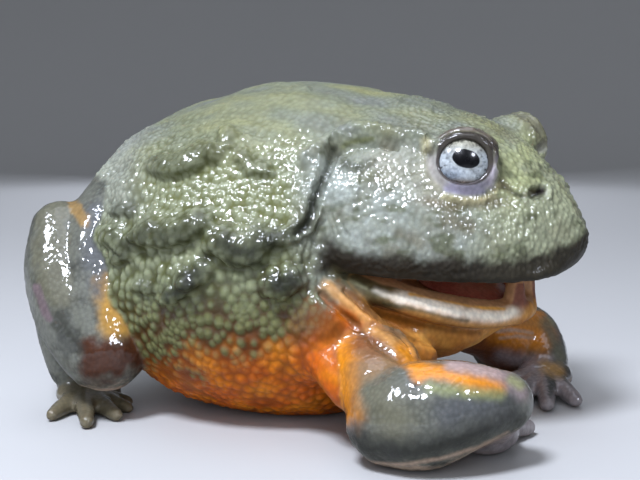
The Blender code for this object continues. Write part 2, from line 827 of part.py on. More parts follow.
def make_leg(side_name, torso_cutter, floor, slot):
    side = SIDES[side_name]
    thigh = limb("thigh_" + side_name, THIGH, side)
    thigh_cutter = grown(thigh)
    cut(thigh, torso_cutter)
    shank = limb("shank_" + side_name, SHANK, side)
    shank_cutter = grown(shank)
    cut(shank, thigh_cutter, torso_cutter)
    tarsus = limb("tarsus_" + side_name, TARSUS, side)
    tarsus_cutter = grown(tarsus)
    cut(tarsus, shank_cutter, thigh_cutter, torso_cutter)
    foot = cut(make_foot(side_name), tarsus_cutter, shank_cutter, thigh_cutter, torso_cutter, floor)
    for piece in (thigh, shank, tarsus, foot):
        finish(piece, slot)


def centre_on_floor():
    """Moves every part so that the origin is at the bottom centre of the whole."""
    points = np.array([vert.co for part in PARTS.objects for vert in part.data.vertices])
    low, high = points.min(axis=0), points.max(axis=0)
    shift = Matrix.Translation((-(low[0] + high[0]) / 2, -(low[1] + high[1]) / 2, -low[2]))
    for part in PARTS.objects:
        part.data.transform(shift)
        part.data.update()


def main():
    slots = {name: material(name) for name in COLOURS}
    floor = floor_cutter()
    torso = make_torso()
    torso_cutter = grown(torso)
    jaw_cutter, throat_cutter = make_head_group(torso_cutter, slots)
    for side_name in SIDES:
        make_arm(side_name, (torso_cutter, throat_cutter, jaw_cutter), floor, slots["limb"])
        make_leg(side_name, torso_cutter, floor, slots["limb"])
    finish(cut(torso, floor), slots["skin"])
    centre_on_floor()


reset()
PARTS = collection("african_bullfrog")
WORK = collection("work")
CUTTERS = collection("cutters")
main()
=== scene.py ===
"""Looks of the african bullfrog: one wet, warty skin over the flesh, eyes, tongue, floor, light and camera.

Shapes are worked out in millimetres in the model's own axes (+X snout, +Y the frog's left, +Z up),
from a point on the floor near the sacrum, which ORIGIN places in the frame. The frog's markings and
folds are given for its right side and mirrored to its left. Where they follow the picture they are
given as pixels of a 640 x 480 view, and laid on the skin along the view's rays.
"""
import math

import bmesh
import bpy
import numpy as np
from mathutils import Matrix, Vector
from mathutils.bvhtree import BVHTree
from mathutils.kdtree import KDTree


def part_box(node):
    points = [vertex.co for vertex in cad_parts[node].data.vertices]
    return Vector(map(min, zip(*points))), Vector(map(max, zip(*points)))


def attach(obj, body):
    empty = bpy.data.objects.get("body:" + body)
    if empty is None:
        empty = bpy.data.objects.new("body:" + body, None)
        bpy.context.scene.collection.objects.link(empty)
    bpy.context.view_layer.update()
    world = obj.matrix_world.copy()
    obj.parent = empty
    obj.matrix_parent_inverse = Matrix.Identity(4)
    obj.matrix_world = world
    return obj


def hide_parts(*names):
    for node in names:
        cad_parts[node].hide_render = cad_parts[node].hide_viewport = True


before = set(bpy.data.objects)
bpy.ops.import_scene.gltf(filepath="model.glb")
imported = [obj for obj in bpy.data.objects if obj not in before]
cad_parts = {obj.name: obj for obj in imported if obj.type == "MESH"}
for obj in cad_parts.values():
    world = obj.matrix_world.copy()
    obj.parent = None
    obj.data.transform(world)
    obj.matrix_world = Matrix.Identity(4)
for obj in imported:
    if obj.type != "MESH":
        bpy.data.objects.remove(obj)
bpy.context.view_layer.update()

MM = 0.001
HEAD_LEAN = math.radians(5.0)
HEAD_LEAN_Z = 45.0
# The head's lean fades out behind it, between these places along the body
LEAN_FROM, LEAN_TO = 16.0, 30.0

# The eye: its centre before the head leans, its radius and the way it looks
EYE = np.array([49.4, 19.8, 69.6])
EYE_RADIUS = 7.4
EYE_AXIS = (0.40, 0.90, 0.18)

# The view of the picture
AZIMUTH, ELEVATION = math.radians(27.0), math.radians(6.0)
DISTANCE = 320.0
FOCAL_PIXELS = 1152.0
IMAGE_SIZE = (640.0, 480.0)
AIM = np.array([0.0, 0.0, 45.0])

# The size of the skin's faces, and how far the solids swell so that they join
VOXEL = 0.38
SWELL = 0.24
# Points of a solid closer than this, in metres, are one point
MERGE_GAP = 1e-6


def unit(vector):
    vector = np.asarray(vector, float)
    return vector / np.linalg.norm(vector)


def leaned(points, angle):
    """Points turned about the line along X at the head's lean height. The angle may vary by point."""
    c, s = np.cos(angle), np.sin(angle)
    x, y, z = points[..., 0], points[..., 1], points[..., 2] - HEAD_LEAN_Z
    return np.stack([x, y * c - z * s, y * s + z * c + HEAD_LEAN_Z], axis=-1)


def turned(normals, angle):
    c, s = np.cos(angle), np.sin(angle)
    x, y, z = normals[..., 0], normals[..., 1], normals[..., 2]
    return np.stack([x, y * c - z * s, y * s + z * c], axis=-1)


def eye_centre(side):
    return leaned(EYE * (1, side, 1), HEAD_LEAN)


RIGHT_EYE = eye_centre(-1)
EYE_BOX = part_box("eye_right")
ORIGIN = (np.array(EYE_BOX[0]) + np.array(EYE_BOX[1])) / 2 / MM - RIGHT_EYE

# The view's own directions, back to the eye, across and upward, and where it looks from
LEVEL = math.cos(ELEVATION)
BACK = np.array([math.sin(AZIMUTH) * LEVEL, -math.cos(AZIMUTH) * LEVEL, math.sin(ELEVATION)])
ACROSS = np.array([math.cos(AZIMUTH), math.sin(AZIMUTH), 0.0])
UPWARD = np.cross(BACK, ACROSS)
EYE_POINT = AIM + BACK * DISTANCE


def ramp(low, high, value):
    """0 at low, 1 at high and smooth between. low may be the larger of the two."""
    t = np.clip((value - low) / (high - low), 0.0, 1.0)
    return t * t * (3.0 - 2.0 * t)


def to_pixels(points):
    """Pixels and millimetres per pixel of points in the picture's view."""
    offset = points - AIM
    depth = DISTANCE - offset @ BACK
    scale = FOCAL_PIXELS / depth
    across = IMAGE_SIZE[0] / 2 + scale * (offset @ ACROSS)
    down = IMAGE_SIZE[1] / 2 - scale * (offset @ UPWARD)
    return np.stack([across, down], axis=-1), 1.0 / scale


def line_offset(points, line):
    """From the nearest place on a line of straight pieces to each point."""
    line = np.asarray(line, float)
    offset = points - line[0]
    for start, end in zip(line, line[1:]):
        span = end - start
        share = np.clip((points - start) @ span / (span @ span), 0.0, 1.0)
        other = points - start - share[:, None] * span
        closer = np.linalg.norm(other, axis=1) < np.linalg.norm(offset, axis=1)
        offset = np.where(closer[:, None], other, offset)
    return offset


def line_distance(points, line):
    return np.linalg.norm(line_offset(points, line), axis=1)


def lattice_hash(place, seed):
    """A repeatable random number from 0 to 1 for each whole-number cell."""
    mixed = place[..., 0] * 73856093 ^ place[..., 1] * 19349663 ^ place[..., 2] * 83492791
    mixed = (mixed ^ (seed * 2654435761)) & 0xFFFFFFFF
    mixed = ((mixed ^ (mixed >> 15)) * 2246822519) & 0xFFFFFFFF
    mixed = ((mixed ^ (mixed >> 13)) * 3266489917) & 0xFFFFFFFF
    return ((mixed ^ (mixed >> 16)) & 0xFFFFFF) / float(0x1000000)


def noise(points, size, seed=0, octaves=3):
    """Smooth noise from about -1 to 1 with features of the given size."""
    total, strength, norm = np.zeros(len(points)), 1.0, 0.0
    for octave in range(octaves):
        scaled = points / size * 2.0**octave + 17.3 * octave
        base = np.floor(scaled).astype(np.int64)
        t = scaled - base
        t = t * t * (3.0 - 2.0 * t)
        value = np.zeros(len(points))
        for corner in range(8):
            step = np.array([corner & 1, corner >> 1 & 1, corner >> 2 & 1])
            weight = np.prod(np.where(step, t, 1.0 - t), axis=1)
            value += weight * lattice_hash(base + step, seed + octave)
        total += strength * (2.0 * value - 1.0)
        norm += strength
        strength *= 0.5
    return total / norm


# The margin of the lids, a ring that hugs the eyeball: its half width and half height, how far its centre
# lies above the eye's axis, its thickness, and how far its middle lies from the eye's centre
LID_MARGIN_HALF = (6.45, 5.65)
LID_MARGIN_RISE = 0.25
LID_MARGIN_RADIUS = 0.80
LID_MARGIN_REACH = 7.95
# How thick the lids are on the right and on the left, as a share of the radii here
LID_THICKNESS = {-1: 1.0, 1: 0.6}
# The thick upper lid over it: forward and up from the eye's axis, and its radius there
UPPER_LID = (
    (-6.6, 4.4, 0.6),
    (-4.4, 6.8, 0.9),
    (-0.5, 8.0, 1.0),
    (3.8, 7.6, 1.2),
    (7.0, 5.2, 1.5),
    (8.2, 2.0, 1.4),
    (8.0, 0.2, 0.8),
)
UPPER_LID_REACH = 8.6


def eye_axes(side):
    """The eye's own forward, up and outward directions."""
    axis = turned(unit(EYE_AXIS) * (1, side, 1), HEAD_LEAN)
    forward = unit(np.array([1.0, 0.0, 0.0]) - axis * axis[0])
    up = np.cross(forward, axis)
    return forward, up if up[2] > 0 else -up, axis


def beside_eye(side, across, rise, along):
    """Points given forward, up and outward from the centre of one eye."""
    forward, up, axis = eye_axes(side)
    return eye_centre(side) + across[:, None] * forward + rise[:, None] * up + along[:, None] * axis


def lid_margin(side):
    """The points of the ring of one eye's lids."""
    turn = np.linspace(0.0, math.tau, 72, endpoint=False)
    across = LID_MARGIN_HALF[0] * np.cos(turn)
    rise = LID_MARGIN_HALF[1] * np.sin(turn) + LID_MARGIN_RISE
    return beside_eye(side, across, rise, np.sqrt(LID_MARGIN_REACH**2 - across**2 - rise**2))


def upper_lid(side):
    """The points and radii of the thick upper lid of one eye."""
    across, rise, radii = np.array(UPPER_LID).T
    along = np.sqrt(np.maximum(UPPER_LID_REACH**2 - across**2 - rise**2, 0.3))
    return beside_eye(side, across, rise, along), radii


def add_tube(work, path, radii, closed, around=12):
    """A tube along a path of points, with a radius at each: a closed ring, or a piece with rounded ends."""
    path = np.asarray(path, float)
    if not closed:
        ends = unit(path[0] - path[1]) * radii[0] * 0.7, unit(path[-1] - path[-2]) * radii[-1] * 0.7
        path = np.vstack([path[0] + ends[0], path, path[-1] + ends[1]])
        radii = [0.5 * radii[0], *radii, 0.5 * radii[-1]]
    last = len(path) - 1
    loops = []
    for index, point in enumerate(path):
        before = path[index - 1] if closed or index else path[0]
        after = path[(index + 1) % len(path)] if closed or index < last else path[last]
        along = unit(after - before)
        out = unit(np.cross(along, (0.3, 0.2, 1.0)))
        side = np.cross(along, out)
        loop = []
        for turn in (math.tau * k / around for k in range(around)):
            loop.append(work.verts.new(point + radii[index] * (out * math.cos(turn) + side * math.sin(turn))))
        loops.append(loop)
    for index in range(len(loops) if closed else last):
        loop, following = loops[index], loops[(index + 1) % len(loops)]
        for k in range(around):
            beside = (k + 1) % around
            work.faces.new((loop[k], loop[beside], following[beside], following[k]))
    if not closed:
        work.faces.new(loops[0][::-1])
        work.faces.new(loops[-1])


# Skin that spans the hollow between the arm and the body: points on the left, with a radius at each
ARM_WEB = np.array([(13.0, 37.5, 27.0, 5.0), (22.0, 40.0, 21.5, 5.5), (32.0, 44.0, 15.5, 6.5)])
# The flesh over the bend of the left elbow, in the same way
LEFT_ELBOW = np.array([(31.0, 36.0, 20.0, 10.4), (36.0, 43.0, 17.0, 10.8), (38.5, 49.0, 13.5, 11.2)])

FLESH = [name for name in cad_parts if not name.startswith(("eye", "tongue"))]


def flesh_mesh():
    """The flesh nodes as one mesh in millimetres, each swollen so that they join, and each face's node."""
    joined = bmesh.new()
    labels = []

    def label(name):
        labels.extend([FLESH.index(name)] * (len(joined.faces) - len(labels)))

    for name in FLESH:
        part = bmesh.new()
        part.from_mesh(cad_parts[name].data)
        bmesh.ops.remove_doubles(part, verts=part.verts, dist=MERGE_GAP)
        bmesh.ops.recalc_face_normals(part, faces=part.faces)
        part.normal_update()
        swollen = {v: joined.verts.new(v.co / MM + v.normal * SWELL - Vector(ORIGIN)) for v in part.verts}
        for face in part.faces:
            joined.faces.new([swollen[v] for v in face.verts])
        part.free()
        label(name)
    for side in (-1, 1):
        margin = lid_margin(side)
        add_tube(joined, margin, [LID_MARGIN_RADIUS * LID_THICKNESS[side]] * len(margin), True)
        path, radii = upper_lid(side)
        add_tube(joined, path, radii * LID_THICKNESS[side], False)
        label("head")
        add_tube(joined, ARM_WEB[:, :3] * (1, side, 1), ARM_WEB[:, 3], False)
        label("torso")
    add_tube(joined, LEFT_ELBOW[:, :3], LEFT_ELBOW[:, 3], False)
    label("upper_arm_left")
    mesh = bpy.data.meshes.new("flesh")
    joined.to_mesh(mesh)
    joined.free()
    return mesh, np.array(labels)


def linked(name, data):
    """A new object in the scene."""
    obj = bpy.data.objects.new(name, data)
    bpy.context.scene.collection.objects.link(obj)
    return obj


def even_mesh(mesh, voxel):
    """A closed mesh of even faces round the closed parts of a mesh."""
    obj = linked("even_base", mesh)
    remesh = obj.modifiers.new("Even", "REMESH")
    remesh.mode = "VOXEL"
    remesh.voxel_size = voxel
    bpy.context.view_layer.update()
    graph = bpy.context.evaluated_depsgraph_get()
    even = bpy.data.meshes.new_from_object(obj.evaluated_get(graph))
    bpy.data.objects.remove(obj)
    return even


def read(mesh, attribute, name, width, kind=np.float32):
    values = np.empty(len(getattr(mesh, attribute)) * width, kind)
    getattr(mesh, attribute).foreach_get(name, values)
    return values.reshape(-1, width) if width > 1 else values


def normals_of(mesh, points):
    mesh.vertices.foreach_set("co", points.astype(np.float32).ravel())
    mesh.update()
    return read(mesh, "vertex_normals", "vector", 3).astype(float)


def largest_shell(points, edges):
    """Which points belong to the largest connected surface."""
    group = np.arange(len(points))
    while True:
        low = np.minimum(group[edges[:, 0]], group[edges[:, 1]])
        new = group.copy()
        np.minimum.at(new, edges[:, 0], low)
        np.minimum.at(new, edges[:, 1], low)
        new = new[new]
        if np.array_equal(new, group):
            break
        group = new
    counts = np.bincount(group, minlength=len(points))
    return group == counts.argmax()


def smoothed(values, edges, rounds, weight):
    """Values drawn towards the mean of their neighbours, by each point's weight, for some rounds."""
    count = len(values)
    degree = np.bincount(edges.ravel(), minlength=count)
    values = values.copy()
    flat = values.ndim == 1
    if flat:
        values = values[:, None]
    for _ in range(rounds):
        for k in range(values.shape[1]):
            column = values[:, k]
            total = np.bincount(edges[:, 0], column[edges[:, 1]], count)
            total += np.bincount(edges[:, 1], column[edges[:, 0]], count)
            values[:, k] = column + weight * (total / degree - column)
    return values[:, 0] if flat else values


def region(*starts):
    """The numbers of the flesh nodes whose names start with any of these words."""
    return [index for index, name in enumerate(FLESH) if name.startswith(starts)]


class Skin:
    """The skin while it is worked: points, normals, and where each point lies on the frog and in the view.

    mirrored holds each point as if it lay on the right side, and level the same with the head's lean undone.
    limb is 1 on the limbs and 0 on the body, and body the other way round.
    """

    def __init__(self):
        flesh, labels = flesh_mesh()
        tree = BVHTree.FromPolygons([v.co for v in flesh.vertices], [p.vertices for p in flesh.polygons])
        whole = even_mesh(flesh, VOXEL)
        points = read(whole, "vertices", "co", 3).astype(float)
        kept = largest_shell(points, read(whole, "edges", "vertices", 2, np.int32))
        drop_points(whole, ~kept)
        self.mesh = whole
        self.points = read(whole, "vertices", "co", 3).astype(float)
        self.edges = read(whole, "edges", "vertices", 2, np.int32)
        nearest = [tree.find_nearest(Vector(p))[2] for p in self.points]
        self.part = labels[np.array(nearest)]
        self.limb = self.soft_region("upper_arm", "forearm", "hand", "thigh", "shank", "tarsus", "foot")
        self.body = 1.0 - self.limb
        self.refresh()

    def soft_region(self, *starts, rounds=10):
        inside = np.isin(self.part, region(*starts)).astype(float)
        return smoothed(inside, self.edges, rounds, 0.5)

    def point_area(self):
        """The surface for each point, by the lengths of the edges that meet there."""
        ends = self.points[self.edges]
        length = np.linalg.norm(ends[:, 0] - ends[:, 1], axis=1)
        total = np.bincount(self.edges.ravel(), np.repeat(length, 2), len(self.points))
        return (total / np.bincount(self.edges.ravel(), minlength=len(self.points))) ** 2

    def refresh(self):
        self.normals = normals_of(self.mesh, self.points)
        angle = HEAD_LEAN * ramp(LEAN_FROM, LEAN_TO, self.points[:, 0]) * self.body
        self.level = leaned(self.points, -angle)
        side = np.where(self.level[:, 1] > 0, -1.0, 1.0)
        flip = np.stack([np.ones_like(side), side, np.ones_like(side)], axis=1)
        self.level = self.level * flip
        self.mirrored = leaned(self.level, angle)
        self.mirrored_normals = turned(turned(self.normals, -angle) * flip, angle)
        self.pixels, self.pixel_size = to_pixels(self.mirrored)
        self.facing = facing(self.mirrored, self.mirrored_normals)
        self.seen_pixels, self.seen_size = to_pixels(self.points)
        self.seen_facing = facing(self.points, self.normals)

    def move(self, height):
        self.points = self.points + self.normals * height[:, None]
        self.refresh()

    def smooth(self, rounds, weight):
        self.points = smoothed(self.points, self.edges, rounds, weight)
        self.refresh()

    def stroke(self, line, reach, both_sides=True, ragged=0.0, drop=1.0):
        """How strongly a line drawn in the view covers each point: 1 on the line and 0 beyond its reach.

        Below the line the reach is divided by drop.
        """
        pixels = self.pixels if both_sides else self.seen_pixels
        size = self.pixel_size if both_sides else self.seen_size
        front = self.facing if both_sides else self.seen_facing
        line = np.asarray(line, float)
        margin = reach / size.min()
        low, high = line.min(axis=0) - margin, line.max(axis=0) + margin
        near = np.all((pixels > low) & (pixels < high), axis=1) & (front > 0)
        cover = np.zeros(len(pixels))
        offset = line_offset(pixels[near], line)
        offset[:, 1] *= np.where(offset[:, 1] > 0, drop, 1.0)
        gap = np.linalg.norm(offset, axis=1) * size[near]
        if ragged:
            gap = gap + ragged * reach * noise(self.points[near], 0.3 * reach + 1.2, 91)
        cover[near] = (1.0 - ramp(0.0, reach, gap)) * ramp(0.0, 0.3, front[near])
        return cover

    def strokes(self, cover, ragged, widened=1.0, both_sides=True):
        """For markings that keep to one cover of the skin: how a line with a reach lies on each point."""
        return lambda line, reach: self.stroke(line, widened * reach, both_sides, ragged) * cover


def facing(points, normals):
    towards = EYE_POINT - points
    return np.einsum("ij,ij->i", towards, normals) / np.linalg.norm(towards, axis=1)


def drop_points(mesh, unwanted):
    work = bmesh.new()
    work.from_mesh(mesh)
    work.verts.ensure_lookup_table()
    bmesh.ops.delete(work, geom=[work.verts[i] for i in np.flatnonzero(unwanted)], context="VERTS")
    work.to_mesh(mesh)
    work.free()


# Lines in the view, in pixels, that are long or serve more than once
EARDRUM_RIDGE = (
    *((430, 143), (416, 139), (392, 136), (375, 132), (353, 131)),
    *((343, 135), (333, 141), (325, 146), (317, 152), (305, 160)),
)
JAW_GROOVE = (
    *((335, 146), (330, 158), (328, 166), (323, 177), (320, 189)),
    *((317, 198), (310, 216), (305, 227), (295, 235)),
)
GROOVE_FOLD = ((319, 158), (314, 172), (309, 188), (305, 202), (299, 216), (291, 228))
JAW_STRIP = ((329, 286), (350, 305), (372, 324), (392, 340), (408, 350))
ABOVE_STRIP = ((345, 291), (365, 308), (390, 326), (415, 341))
BELOW_STRIP = ((321, 294), (340, 312), (362, 331), (385, 347))
FOLD_BEFORE_EYE = ((504, 186), (514, 193), (523, 197))
JAW_GROOVE_SHADE = ((334, 148), (328, 167), (319, 193), (310, 216), (298, 234))
CREAM_BAND = ((402, 298), (424, 302), (443, 308), (458, 312), (484, 316), (504, 316), (514, 311))
YELLOW_LINE = ((410, 294), (424, 296), (443, 300), (458, 303), (484, 308), (504, 309))
UNDER_JAW = ((350, 292), (381, 313), (404, 320), (440, 329), (480, 333))
FOREARM_UNDERSIDE_SHADE = ((351, 434), (366, 448), (400, 452), (440, 446), (480, 432), (512, 416))
FOREARM_RIM_LIGHT = ((350, 452), (370, 463), (400, 465), (440, 459), (480, 447), (508, 433))

# Folds of the body: height and reach in millimetres, then the line that each follows in the view
BODY_FOLDS = {
    "ridge over the eardrum": (2.8, 2.9, EARDRUM_RIDGE),
    "groove under the ridge": (-1.8, 1.4, [(396, 147), (378, 144), (360, 144), (348, 147), (338, 151)]),
    "lump under the ridge, back": (0.8, 1.9, [(346, 163)]),
    "lump under the ridge, middle": (0.7, 1.7, [(357, 166)]),
    "lump under the ridge, front": (0.6, 1.5, [(371, 162)]),
    "lump under the ridge, top": (0.6, 1.5, [(356, 150)]),
    "groove behind the jaw": (-1.9, 2.0, JAW_GROOVE),
    "fold behind the groove": (1.0, 2.6, GROOVE_FOLD),
    "ridge before the eardrum": (0.5, 1.1, [(359, 173), (357, 185), (355, 198)]),
    "wrinkle at the mouth, back": (-0.6, 0.9, [(325, 216), (332, 233)]),
    "wrinkle at the mouth, middle": (-0.5, 0.8, [(331, 214), (338, 234)]),
    "wrinkle at the mouth, front": (-0.6, 0.9, [(338, 216), (346, 235)]),
    "bulge of the neck, upper": (1.0, 3.2, [(321, 254), (321, 260)]),
    "bulge of the neck, lower": (1.2, 3.4, [(315, 270), (314, 277)]),
    "knob on the back": (1.0, 2.6, [(297, 89), (304, 89)]),
    "knob of the hip": (1.2, 4.0, [(151, 134), (138, 163)]),
    "knob behind the eye": (0.5, 2.2, [(397, 102)]),
    "knob above the eye": (0.5, 2.2, [(430, 107)]),
    "fold before the eye": (-0.6, 1.0, FOLD_BEFORE_EYE),
    "nostril": (-2.4, 2.0, [(535, 192.5), (542, 191)]),
    "rim of the nostril": (0.6, 1.1, [(546, 184), (550, 190), (548, 198)]),
    "strip under the jaw": (1.0, 2.2, JAW_STRIP),
    "groove above the strip": (-1.0, 1.2, ABOVE_STRIP),
    "groove below the strip": (-1.0, 1.2, BELOW_STRIP),
}

# Warty lumps of the flank, each a pad with a steep lower edge: height, reach, how strong its dark patch is
# (painted shade on its underside, partly dark skin), and the line of that edge
LUMPS = {
    "A": (2.5, 6.0, 0.55, [(161, 171), (178, 172), (194, 164), (205, 157)]),
    "B": (2.0, 3.4, 0.25, [(215, 161), (228, 148), (229, 135)]),
    "C": (1.8, 4.4, 0.35, [(243, 160), (252, 172), (263, 173)]),
    "D": (2.4, 6.4, 0.75, [(150, 238), (166, 241), (184, 236), (199, 226)]),
    "E": (2.5, 7.4, 1.0, [(223, 248), (236, 258), (252, 258), (263, 247)]),
    "F": (2.0, 4.4, 0.8, [(311, 217), (303, 231), (291, 239), (273, 244)]),
    "G, upper": (2.0, 4.6, 1.0, [(187, 283), (197, 280), (205, 271)]),
    "G, lower": (1.8, 4.0, 1.0, [(168, 299), (178, 297), (187, 289)]),
    "H": (2.4, 6.0, 1.0, [(274, 289), (283, 293), (290, 286)]),
    "I, low": (1.3, 3.0, 0.6, [(116, 261), (127, 259)]),
    "I, high": (1.4, 3.6, 0.7, [(117, 213), (129, 213)]),
    "I, large": (1.6, 5.4, 0.7, [(113, 240), (122, 249), (130, 245)]),
    "J": (1.5, 3.4, 0.6, [(141, 289), (151, 291)]),
}
LUMP_DROP = 2.4
# How far a lump's dark patch of painted shade lies above its lower edge, in pixels for each millimetre of its
# reach
LUMP_SHADE = 1.0


def sculpt_folds(skin):
    height = np.zeros(len(skin.points))
    for rise, reach, line in BODY_FOLDS.values():
        height += rise * skin.stroke(line, reach, ragged=0.15)
    for rise, reach, _, line in LUMPS.values():
        height += rise * ramp(0.0, 1.0, skin.stroke(line, 1.1 * reach, ragged=0.15, drop=LUMP_DROP))
    skin.move(height * skin.body)


# Where the flesh of the upper arms is taken down or raised: height and reach, then the line of each
ARM_FOLDS = {
    "top of the upper arm": (-1.8, 9.0, [(338, 318), (360, 326), (392, 334), (412, 344)]),
    "strip over the arm": (1.2, 2.8, [(362, 322), (378, 333), (394, 343), (409, 353)]),
    "groove under the strip": (-0.8, 1.5, [(372, 343), (388, 353), (402, 361)]),
}


def sculpt_arm(skin):
    cover = skin.soft_region("upper_arm", rounds=60)
    for rise, reach, line in ARM_FOLDS.values():
        skin.move(rise * skin.stroke(line, reach) * cover)


# The front of the throat pouch is drawn up towards this height, by this share of the way at most. The share
# grows from nothing to its most between these places along the body
POUCH_TOP = 30.0
POUCH_FRONT = (36.0, 50.0)
POUCH_SHARE = 0.25


def sculpt_throat(skin):
    x, _, z = skin.level.T
    share = POUCH_SHARE * ramp(*POUCH_FRONT, x) * skin.body
    skin.points[:, 2] += share * np.maximum(POUCH_TOP - z, 0.0)
    skin.refresh()


def lump_cover(skin):
    cover = np.zeros(len(skin.points))
    for _, reach, _, line in LUMPS.values():
        cover = np.maximum(cover, skin.stroke(line, 1.2 * reach, drop=LUMP_DROP))
    return cover


def eye_coordinates(points):
    """Each point seen from the right eye: forward, up and outward, in millimetres from its centre."""
    forward, up, axis = eye_axes(-1)
    offset = points - RIGHT_EYE
    return offset @ forward, offset @ up, offset @ axis


MARGIN_CREASE = ((-6.9, 3.2), (-5.3, 5.7), (-2.0, 6.9), (2.2, 6.9), (5.6, 5.2), (7.1, 3.0))

# Folds round the eye: height and reach, then the line of each, forward and up from the eye's axis
EYE_FOLDS = {
    "crease above the margin": (-0.6, 0.6, MARGIN_CREASE),
    "crease before the eye": (-0.7, 0.9, [(9.1, 4.5), (9.3, 1.6), (8.6, -0.6)]),
    "front corner": (0.4, 1.4, [(7.3, -1.2), (7.0, -4.0)]),
    "bag under the eye": (0.5, 1.4, [(-3.5, -8.0), (0.5, -9.0), (5.0, -8.6), (8.2, -6.4)]),
    "behind the eye": (0.3, 1.4, [(-8.4, 4.5), (-8.8, 1.0), (-7.8, -2.6)]),
    "hollow behind the lid": (0.6, 1.6, [(-9.0, 2.8)]),
}


def eye_stroke(skin, line, reach):
    across, rise, along = eye_coordinates(skin.mirrored)
    gap = line_distance(np.stack([across, rise], axis=1), line)
    return (1.0 - ramp(0.0, reach, gap)) * ramp(-2.0, 1.0, along) * skin.body


# How far the rim of the lids sinks below the solid's
RIM_SINK = 0.3


def sculpt_lids(skin):
    across, rise, along = eye_coordinates(skin.mirrored)
    away = np.hypot(across, rise)
    rim = ramp(6.6, 8.0, away) * ramp(13.0, 9.5, away) * ramp(-1.0, 3.0, along)
    height = -RIM_SINK * rim * skin.body
    for rise, reach, line in EYE_FOLDS.values():
        height += rise * eye_stroke(skin, line, reach)
    skin.move(height)


# The skin's grains: how much closer they lie up and down than along, how often their places are evened out,
# what share of the skin's points that takes, and the room of a grain as a share of its spacing's square
GRAIN_STRETCH = np.array([1.0, 1.0, 0.8])
GRAIN_ROUNDS = 1
GRAIN_SAMPLE = 0.3
GRAIN_ROOM = 0.87
# Half a grain's width as a share of its spacing, and how steeply it falls off
GRAIN_WIDTH = 0.57
GRAIN_FALL = 1.7


def nearest_sites(sites, points):
    """For each point, the number of its nearest site and how far off it is."""
    tree = KDTree(len(sites))
    for index, site in enumerate(sites):
        tree.insert(site, index)
    tree.balance()
    owner, gap = np.array([tree.find_n(point, 1)[0][1:] for point in points]).T
    return owner.astype(int), gap


def evened(sites, points, weights):
    """The sites, each drawn to the middle of the points nearest to it."""
    owner, _ = nearest_sites(sites, points)
    total = np.bincount(owner, weights, len(sites))
    kept = total > 0
    moved = [np.bincount(owner, weights * points[:, k], len(sites))[kept] / total[kept] for k in range(3)]
    return np.stack(moved, axis=1)


def granules(points, spacing, area, seed):
    """Rounded grains close against each other, spread over a surface.

    spacing is how far apart they lie at each point, and area the surface for each point. Gives how far up
    its grain each point lies, from 0 between the grains to 1 on top, and a random number for its grain.
    """
    points = points * GRAIN_STRETCH
    chance = np.random.default_rng(seed)
    sites = points[chance.random(len(points)) < area / (GRAIN_ROOM * spacing**2)]
    sample = chance.random(len(points)) < GRAIN_SAMPLE
    for _ in range(GRAIN_ROUNDS):
        sites = evened(sites, points[sample], spacing[sample] ** -4)
    owner, gap = nearest_sites(sites, points)
    own = chance.random(len(sites))[owner]
    width = GRAIN_WIDTH * spacing * (0.8 + 0.4 * own)
    return np.exp(-GRAIN_FALL * (gap / width) ** 2), own


def screen(red, green, blue):
    """A colour given as it looks on screen, from 0 to 255, as light."""
    value = np.array([red, green, blue]) / 255.0
    return np.where(value <= 0.04045, value / 12.92, ((value + 0.055) / 1.055) ** 2.4)


BACK_OLIVE = screen(109, 113, 92)
BACK_YELLOW = screen(128, 128, 87)
BACK_GREY = screen(102, 105, 102)
FLANK_GREEN = screen(96, 99, 50)
FLANK_GRAIN = screen(128, 133, 104)
FLANK_DARK = screen(46, 47, 34)
DARK_SKIN_AND_SHADE = screen(40, 42, 30)
BELLY_ORANGE = screen(178, 84, 8)
BELLY_YELLOW = screen(190, 114, 14)
BELLY_BROWN = screen(98, 58, 16)
AXILLA = screen(116, 66, 36)
CHEEK = screen(147, 153, 144)
SNOUT = screen(146, 150, 120)
HEAD_SIDE = screen(119, 122, 106)
LIP_BROWN_AND_SHADE = screen(34, 27, 18)
LIP_PALE = screen(150, 146, 112)
LIP_CREAM = screen(250, 240, 220)
LIP_YELLOW = screen(226, 166, 70)
LIP_OCHRE = screen(190, 138, 76)
LIP_OLIVE = screen(70, 66, 44)
THROAT = screen(164, 101, 36)
THROAT_LIGHT = screen(212, 160, 78)
THROAT_GROOVE_SHADE = screen(96, 60, 22)
LIMB_GREY = screen(94, 95, 85)
LIMB_OLIVE = screen(95, 93, 75)
LIMB_BLUE = screen(76, 78, 80)
LIMB_DARK = screen(40, 41, 36)
LIMB_PALE = screen(176, 150, 128)
LIMB_OCHRE = screen(162, 122, 52)
LIMB_ORANGE = screen(204, 126, 16)
LIMB_BROWN = screen(62, 28, 5)
LIMB_TAN = screen(129, 101, 70)
LIMB_GREEN = screen(134, 140, 84)
HAND_VIOLET = screen(126, 112, 112)
HAND_LILAC = screen(150, 140, 142)
TOE_BROWN = screen(104, 94, 70)
TOE_PURPLE = screen(104, 88, 92)
MOUTH = screen(174, 130, 90)
MOUTH_PINK = screen(120, 74, 64)
LID_DARK = screen(44, 36, 32)
LID_BROW = screen(82, 68, 62)
LID_LILAC = screen(134, 130, 148)
LID_CREAM = screen(172, 164, 124)
LID_PINK = screen(172, 148, 142)
LID_WHITE = screen(190, 182, 190)
NOSTRIL_SHADE = screen(24, 14, 10)
RUMP_GREY = screen(152, 154, 150)
FLANK_LOW = screen(84, 90, 50)
VALLEY_LOW = screen(58, 49, 24)
HEAD_BROWN = screen(92, 82, 58)
HEAD_TAN = screen(148, 144, 124)
HEAD_OLIVE = screen(76, 80, 54)
SNOUT_YELLOW = screen(150, 154, 96)


def mix(colour, other, amount):
    """One colour or one for each point, turned by an amount for each point towards the other."""
    amount = np.clip(amount, 0.0, 1.0)[:, None]
    return colour * (1.0 - amount) + other * amount


